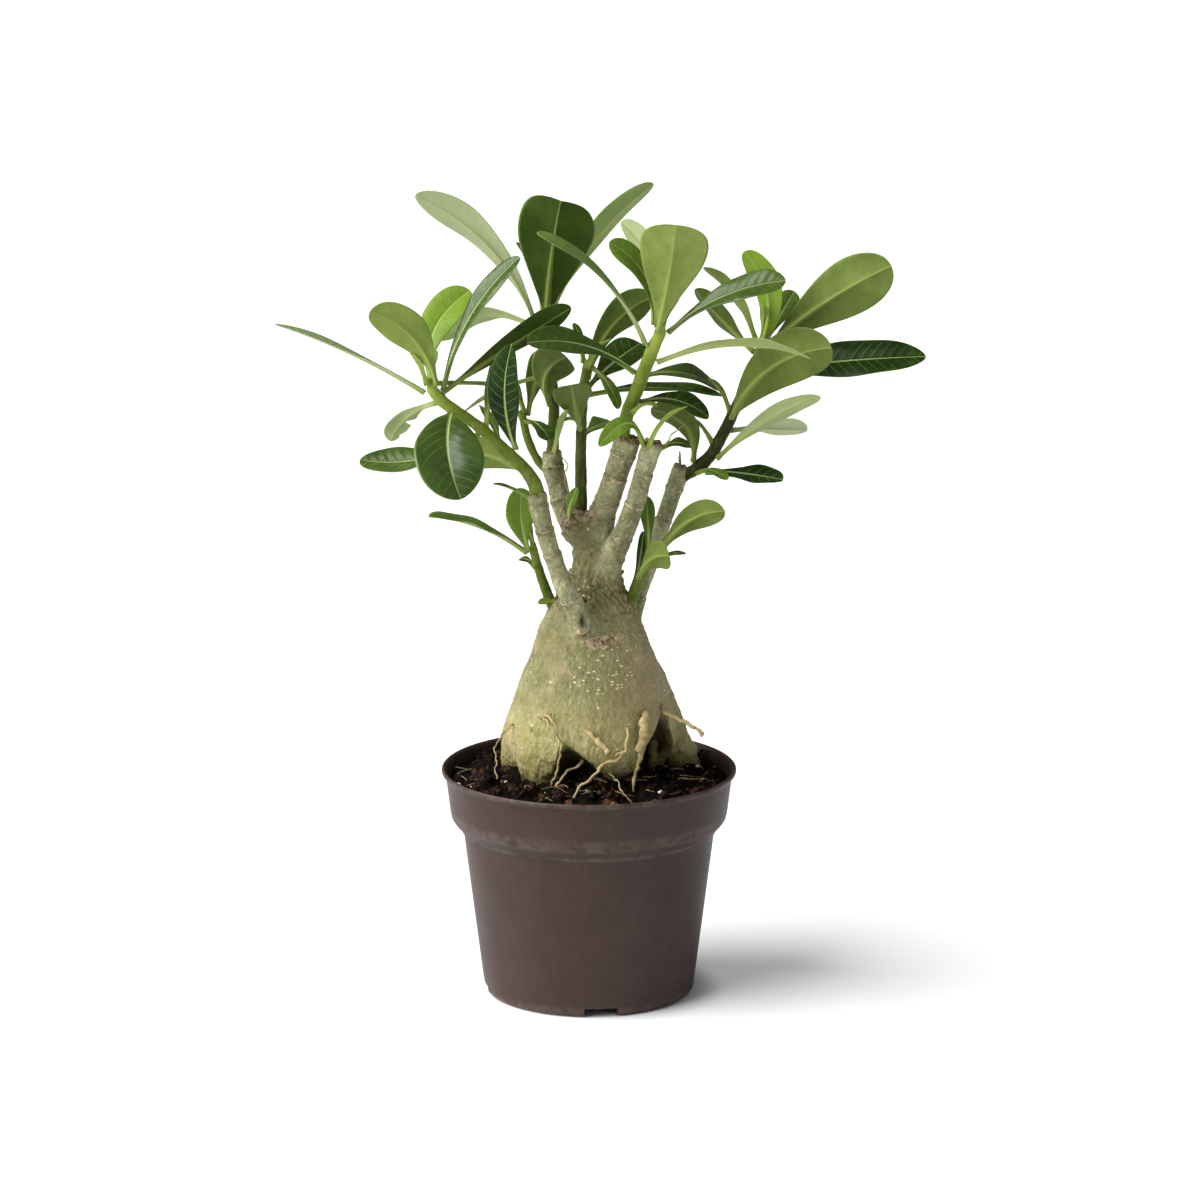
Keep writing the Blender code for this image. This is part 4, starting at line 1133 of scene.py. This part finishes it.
def caudex():
    """The trunk with its root legs and branches.

    The solid's even mesh is drawn onto the blended field, and then raised and pressed along the field's
    direction by lumps, wrinkles, rings and marks.
    """
    source = in_scene("caudex_source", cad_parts["caudex"].data.copy())
    bm = bmesh.new()
    bm.from_mesh(source.data)
    bmesh.ops.remove_doubles(bm, verts=bm.verts, dist=0.00001)
    bm.to_mesh(source.data)
    bm.free()
    cutters = []
    for path in HOLLOW_PATHS:
        hollow_points, hollow_faces = tube(path, 28)
        cutters.append(mesh_object("cutter", hollow_points / FLATTENED, hollow_faces))
        cut = source.modifiers.new("Hollow", "BOOLEAN")
        cut.object = cutters[-1]
        cut.solver = "EXACT"
    remesh = source.modifiers.new("Even", "REMESH")
    remesh.mode = "VOXEL"
    remesh.voxel_size = BARK_VOXEL * MM
    mesh = evaluated(source)
    for used in [source] + cutters:
        bpy.data.objects.remove(used)
    points = mesh_points(mesh)
    for _ in range(BARK_STEPS):
        field = caudex_field(points)
        points = points - field["away"] * np.clip(field["distance"], -1.5, 1.5)[:, None]
    field = caudex_field(points)
    points, scar, hollow = bark_relief(points, field)
    flecked = clamp(sum(spot(points, place, reach) for place, reach in FLECK_PATCHES))
    values = {"branch": field["branch"], "scar": scar, "hollow": hollow, "flecked": flecked}
    piece("caudex_bark", (points, mesh_corners(mesh, 4).tolist()), BARK_SKIN, values, ["caudex"])


def bark_relief(points, field):
    """Raises and presses the bark; returns how scarred it is and its darkness: painted shade in hollows and
    dents, crust on cut ends.
    """
    x, _, z = points.T
    branch, ring, cut = field["branch"], field["ring"], field["cut"]
    body = 1 - branch
    relief = body * (0.3 * waves(points, 26, 1) + 0.08 * waves(points, 10, 2)) + 0.04 * waves(points, 5, 3)
    relief += 0.07 * waves(points, 2.1, 4) * body
    relief += body * bell(z - 173, 13) * 0.55 * waves(points * (1, 1, 0.6), 2.3, 5)
    relief += body * bell(z - 152, 7) * 0.16 * waves(points * (0.35, 0.35, 1), 1.7, 6)
    low = body * ramp(z, 118, 98)
    relief += low * (0.2 * waves(points, 6, 7) + 0.1 * waves(points * (1, 1, 0.4), 2.6, 8))
    relief += branch * (0.06 * waves(points * (1, 1, 0.35), 3, 9) + 0.3 * ring)
    relief += cut * (0.3 * waves(points, 2.1, 10) - 0.1)
    scar = np.maximum(cut * (0.62 + 0.3 * ramp(z, 224, 230)), clamp(np.abs(ring)) * 0.5 * branch)
    # Painted shade deep in the carved hollows; on the cut ends this darkness is their dark crust.
    hollow = np.maximum(ramp(field["depth"], 0.8, 5), 0.45 * cut)
    for place, reach, push, scarred, dark in BARK_MARKS:
        near = spot(points, place, reach)
        relief += push * near
        scar = np.maximum(scar, scarred * near ** 0.7)
        # Darkness of a mark: painted shade where it is sunk, dark crust where it is raised.
        hollow = np.maximum(hollow, dark * near)
    band = spot(points, (5, -21, 151.4), (7.5, 6, 2.2))
    relief += band * 0.5 * np.cos(x * 2 * np.pi / 1.6 + 0.6 * np.sin(z * 2.2))
    return points + field["away"] * relief[:, None], scar, hollow


def root(name, points, tone, nodes=()):
    """A thin root or twig: a tube along its smooth path, with uneven thickness and a wavering way."""
    path = smooth_path(points, 7)
    bumps = waves(path[:, :3], 5, 21) * 0.09 + waves(path[:, :3], 2, 22) * 0.07
    path[:, 3] *= (0.55 + 0.45 * ramp(path[:, 3], 1.2, 1.7)) * (1 + bumps)
    path[:, :3] += np.stack([waves(path[:, :3], 4.5, seed) for seed in (23, 24, 25)], axis=-1) * 0.38
    shape = tube(path, 14, lambda p: 0.06 * waves(p, 1.6, 26))
    piece(name, shape, ROOT_SKIN, {"tone": tone}, nodes)


def roots():
    for key, points in AERIAL_ROOTS.items():
        root("root_" + key, points, 0.9, ["aerial_root_" + key])
    for key, points in LOOSE_ROOTS.items():
        root(key, points, 0.08 if key == "root_green_leg" else 0.85)
    for key, points in TWIGS.items():
        root(key, points, 0.6)


def shoots(bases):
    """The green shoots, swollen where a leaf leaves them and rounded off under their buds."""
    for key, points in SHOOTS.items():
        path = smooth_path(points, 9)
        part = travelled(path) / travelled(path)[-1]
        path[:, 3] *= 0.9 * (1 - 0.35 * ramp(part, 0.93, 1.0))
        near = bases[nearest(bases, path[:, :3]) < 6]

        def press(p):
            return 0.5 * bell(nearest(p, near), 2.0) + 0.07 * waves(p, 7, 31) + 0.04 * waves(p, 2.2, 32)

        shape = tube(path, SHOOT_SIDES, press)
        level = np.append(part.repeat(SHOOT_SIDES), [0, 1])
        tone = SHOOT_TONES[key] + 0.6 * ramp(level, 0.5, 1.0) * (1 - SHOOT_TONES[key])
        scar = 0.45 * bell(nearest(shape[0], near) - 2.4, 0.8) + 0.5 * ramp(level, 0.12, 0.0)
        piece("stem_" + key, shape, STEM, {"tone": tone, "scar": scar}, ["shoot_" + key])


# Leaves

def leaf_outline(s, to_base, to_tip):
    """Half width of the blade, from 0 to 1, at the part s of its length; widest at w = b / (b + t).

    It is (s / w)^b ((1 - s) / (1 - w))^t, with b and t how fast it narrows to its base and tip.
    """
    widest = to_base / (to_base + to_tip)
    s = clamp(s)
    return (s / widest) ** to_base * ((1 - s) / (1 - widest)) ** to_tip


def blade_of(solid):
    """Base, tip, bow, upper side and width of a leaf, read from its solid.

    The solid is a fan, eight rings of eight points and a fan. Its two ends are the points from which all
    others are reached in steps of eight. A ring's edges are its two points farthest apart, and its keel is
    the point of the middle two that lies farther from the line between them.
    """
    points, index = np.unique(np.round(mesh_points(solid.data), 3), axis=0, return_inverse=True)
    corners = index.reshape(-1)[mesh_corners(solid.data, 3)]
    linked = np.zeros((len(points),) * 2, bool)
    for a, b in ((0, 1), (1, 2), (2, 0)):
        linked[corners[:, a], corners[:, b]] = linked[corners[:, b], corners[:, a]] = True
    steps = np.where(np.eye(len(points), dtype=bool), 0, 99)
    reached = np.eye(len(points), dtype=bool)
    for n in range(1, LEAF_RINGS + 2):
        reached = reached @ linked | reached
        steps = np.where(reached & (steps == 99), n, steps)
    in_eights = [1] + [8] * LEAF_RINGS + [1]
    ends = [n for n, row in enumerate(steps) if np.bincount(row).tolist() == in_eights]
    spread = [np.ptp(points[steps[end] == LEAF_RINGS - 1], axis=0).max() for end in ends]
    base = ends[np.argmax(spread)]
    tip = ends[np.argmin(spread)]
    middles, tops, halves = [], [], []
    for n in range(1, LEAF_RINGS + 1):
        ring = points[steps[base] == n]
        gaps = np.linalg.norm(ring[:, None] - ring[None], axis=-1)
        left, right = np.unravel_index(gaps.argmax(), gaps.shape)
        line, centre = unit(ring[right] - ring[left]), (ring[left] + ring[right]) / 2
        inner = np.argsort(np.abs((ring - centre) @ line))[:2]
        off = ring[inner] - centre
        off = off - (off @ line)[:, None] * line
        keel, crest = ring[inner[np.linalg.norm(off, axis=1).argsort()[::-1]]]
        middles.append(keel + (crest - keel) * 2 / 3)
        tops.append(unit(crest - keel))
        halves.append(gaps.max() / 2)
    s = 0.5 - 0.5 * np.cos(np.pi * (np.arange(1, LEAF_RINGS + 1) - 0.75) / (LEAF_RINGS + 0.15))
    base, tip, middles = points[base], points[tip], np.array(middles)
    weight = 4 * s * (1 - s)
    bow = ((middles - base - (tip - base) * s[:, None]) * weight[:, None]).sum(axis=0) / (weight ** 2).sum()
    width = 2 * np.max(np.array(halves) / np.maximum(leaf_outline(s, *OUTLINE), 0.5))
    upper = np.sum(tops, axis=0)
    along = unit(tip - base)
    return base, tip, bow, unit(upper - (upper @ along) * along), width


def blade_on(carrier, place, tip, arch, sweep, roll):
    """Base, tip, bow and upper side of a small leaf on a limb, by the construction's rule.

    The upper side is the limb's direction plus half of up, square to the leaf and rolled about it.
    """
    centre, stem, stem_r = along_path(smooth_path(carrier, 6), place)
    tip = np.array(tip, float)
    along = unit(tip - centre)
    upper = stem + 0.5 * UP
    upper = unit(upper - (upper @ along) * along)
    roll = np.radians(roll)
    upper = upper * np.cos(roll) + np.cross(along, upper) * np.sin(roll)
    side = np.cross(along, upper)
    start = unit(along + 4 * (arch * upper + sweep * side) / np.linalg.norm(tip - centre))
    outward = unit(start - (start @ stem) * stem)
    return centre + outward * stem_r * 0.9, tip, upper * arch + side * sweep, upper


def leaf_surface(base, tip, bow, upper, width, seed, bites=(), outline=OUTLINE, slim=1.0):
    """A closed leaf on a grid of s, from 0 at its base to 1 at its tip, and u, from -1 to 1 across it.

    Its midrib is base + chord s + bow 4s(1 - s). The half width is the root of the outline's square plus the
    stalk's square. Across it, the blade rises to its edges in a soft V, each half is slightly domed, the
    upper side has a groove over the midrib and the lower side a keel, and the edges wave.
    """
    rng = np.random.default_rng(seed)
    chord = tip - base
    length = np.linalg.norm(chord)
    rows = int(np.clip(length / 0.85, 24, 92))
    inset = 1.2 / length
    s = -inset + (1 + inset) * np.sin(np.pi / 2 * (np.arange(rows) + 0.5) / rows)
    middle = base + chord * s[:, None] + bow * (4 * s * (1 - s))[:, None]
    heading = unit(chord + bow * (4 - 8 * s)[:, None])
    across = unit(np.cross(heading, upper))
    top = np.cross(across, heading)
    twist = np.radians(rng.uniform(-9, 9)) * ramp(s, 0.2, 1.0)[:, None]
    cosine, sine = np.cos(twist), np.sin(twist)
    across, top = across * cosine + top * sine, top * cosine - across * sine

    v = np.linspace(-1, 1, 33)
    u = np.sign(v) * np.abs(v) ** 1.3
    u = np.append(u, u[-2:0:-1])
    below = np.append(np.zeros(33), np.ones(31))
    below[[0, 32]] = 0.5
    uneven = 1 + 0.035 * np.sin(s * rng.uniform(5, 9) + rng.uniform(0, 6))
    stalk = (STALK_R + 0.45 * np.exp(-clamp(s) * length / 1.6)) * np.sqrt(clamp(1 - s))
    half = np.hypot(slim * width / 2 * leaf_outline(s, *outline) * uneven, stalk)[:, None] * np.ones(64)
    for side, place, reach, depth in bites:
        bite = depth * np.exp(-((s - place) / reach) ** 4)[:, None]
        half = np.where(u * side > 0, half * (1 - bite), half)
    s, y = clamp(s)[:, None], (s * length)[:, None]
    x = half * u
    fold = 0.22 * np.maximum(half - STALK_R, 0) * (np.sqrt(u ** 2 + 0.02) - 0.14)
    dome = 0.05 * half * np.sin(np.pi * np.abs(u)) * ramp(half, 1.5, 4)
    wave = s * rng.uniform(9, 15) + np.where(u > 0, 1.9, 0) + rng.uniform(0, 6)
    sheet = fold + dome + 0.06 * half * u ** 2 * np.sin(wave)
    vein = (y - VEIN_SLANT * np.abs(x) - VEIN_CURVE * x ** 2) / VEIN_GAP + np.where(x > 0, VEIN_SHIFT, 0)
    quilted = ramp(half, 3, 6) * ramp(np.abs(u), 0.02, 0.15) * ramp(np.abs(u), 1, 0.8)
    quilt = 0.07 * np.cos(2 * np.pi * vein) * quilted
    thick = (0.42 + 0.6 * (1 - s) ** 3) * (1 - u ** 2) ** 0.35 / 2
    keel = (1.15 * (1 - s) ** 0.9 + 0.06) * bell(x, 0.55 + 0.8 * (1 - s)) * (1 - u ** 2)
    groove = 0.24 * (1 - s) ** 0.3 * ramp(half, 1.3, 3) * bell(x, 0.42)
    level = sheet - quilt + np.where(below > 0.75, -thick - keel, thick - groove)
    level[:, [0, 32]] = sheet[:, [0, 32]]
    rings = middle[:, None] + across[:, None] * x[..., None] + top[:, None] * level[..., None]
    numbers = {"across": (x, 0, 0), "along": (y, 0, length), "part": (s, 0, 1), "rim": (np.abs(u), 0, 1),
               "under": (below, 0.5, 0.5)}
    values = {key: np.append(grid + 0 * x, ends) for key, (grid, *ends) in numbers.items()}
    return skin(rings, middle[0] - heading[0] * 0.3, tip), values


def leaves():
    """Every leaf of the construction and the small ones that it leaves out; returns where they start."""
    bases = []
    for carrier, tones in LEAF_TONE.items():
        for n, tone in enumerate(tones):
            name = f"leaf_{carrier}_{n + 1:02d}"
            blade = blade_of(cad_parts[name])
            shape, values = leaf_surface(*blade, 100 + len(bases), LEAF_BITES.get(name, ()),
                                         LEAF_OUTLINE.get(name, OUTLINE), LEAF_SLIMMER.get(name, 1.0))
            gloss = LEAF_GLOSS.get(name, PLAIN_GLOSS)
            values |= {"tone": tone, "gold": LEAF_GOLD.get(name, 0.0), "gloss": gloss}
            piece(name.replace("leaf_", "blade_"), shape, LEAF, values, [name])
            bases.append(blade[0])
    limbs = SHOOTS | BRANCHES
    for n, (carrier, place, tip, width, arch, sweep, roll, tone, gold) in enumerate(SMALL_LEAVES):
        blade = blade_on(limbs[carrier], place, tip, arch, sweep, roll)
        shape, values = leaf_surface(*blade, width, 300 + n)
        values |= {"tone": tone, "gold": gold, "gloss": PLAIN_GLOSS}
        piece(f"small_leaf_{n + 1:02d}", shape, LEAF, values)
        bases.append(blade[0])
    return np.array(bases)


# Stage

def stage():
    """A pale floor that glows for the camera away from the pot, two soft suns and even light from all round.
    """
    floor = mesh_object("floor", [(-9000, -9000, 0), (9000, -9000, 0), (9000, 9000, 0), (-9000, 9000, 0)],
                        [(0, 1, 2, 3)])
    pale = bpy.data.materials.new("pale_floor")
    pale.use_nodes = True
    tree = pale.node_tree
    shader = tree.nodes["Principled BSDF"]
    shader.inputs["Base Color"].default_value = (0.94, 0.94, 0.94, 1)
    shader.inputs["Roughness"].default_value = 0.9
    shader.inputs["Specular IOR Level"].default_value = 0.1
    shader.inputs["Emission Color"].default_value = WHITE
    # Painted light: the floor glows for the camera only, everywhere but close round the pot, which lightens
    # the shadow it casts and keeps the contact shadow at its foot dark.
    from_pot = node("VectorMath", {0: node("TexCoord", {}, "Object", tree)}, "Value", operation="LENGTH")
    lift = from_pot.ramp(0.043, 0.058) * node("LightPath", {}, "Is Camera Ray", tree) * FLOOR_LIFT
    tree.links.new(lift.socket, shader.inputs["Emission Strength"])
    floor.data.materials.append(pale)

    suns = (("key", KEY, KEY_ANGLE, KEY_FROM), ("fill", FILL, FILL_ANGLE, FILL_FROM))
    for name, strength, angle, heading in suns:
        light = bpy.data.lights.new(name, "SUN")
        light.energy = strength
        light.angle = np.radians(angle)
        in_scene(name, light).rotation_euler = Vector(heading).to_track_quat("Z", "Y").to_euler()

    world = bpy.data.worlds.new("studio")
    bpy.context.scene.world = world
    world.use_nodes = True
    tree = world.node_tree
    tree.nodes.remove(tree.nodes["Background"])
    lit, dim, seen = (node("Background", {"Color": WHITE, "Strength": strength}, tree=tree)
                      for strength in (AMBIENT, GLOSSY_AMBIENT, 1.0))
    ray = node("LightPath", {}, "Is Glossy Ray", tree)
    unseen = node("MixShader", {0: ray, 1: lit, 2: dim})
    both = node("MixShader", {0: ray.beside("Is Camera Ray"), 1: unseen, 2: seen})
    tree.links.new(both.socket, tree.nodes["World Output"].inputs["Surface"])


def camera():
    data = bpy.data.cameras.new("camera")
    data.sensor_width = 36
    data.lens = CAMERA_LENS
    data.clip_end = 100
    made = in_scene("camera", data)
    made.location = CAMERA_AT
    made.rotation_euler = np.radians((90 - CAMERA_DIP, 0, CAMERA_TURN))
    bpy.context.scene.camera = made


camera()
stage()
bpy.context.scene.view_settings.view_transform = "Standard"
pot()
soil()
potting_bits()
caudex()
roots()
shoots(leaves())
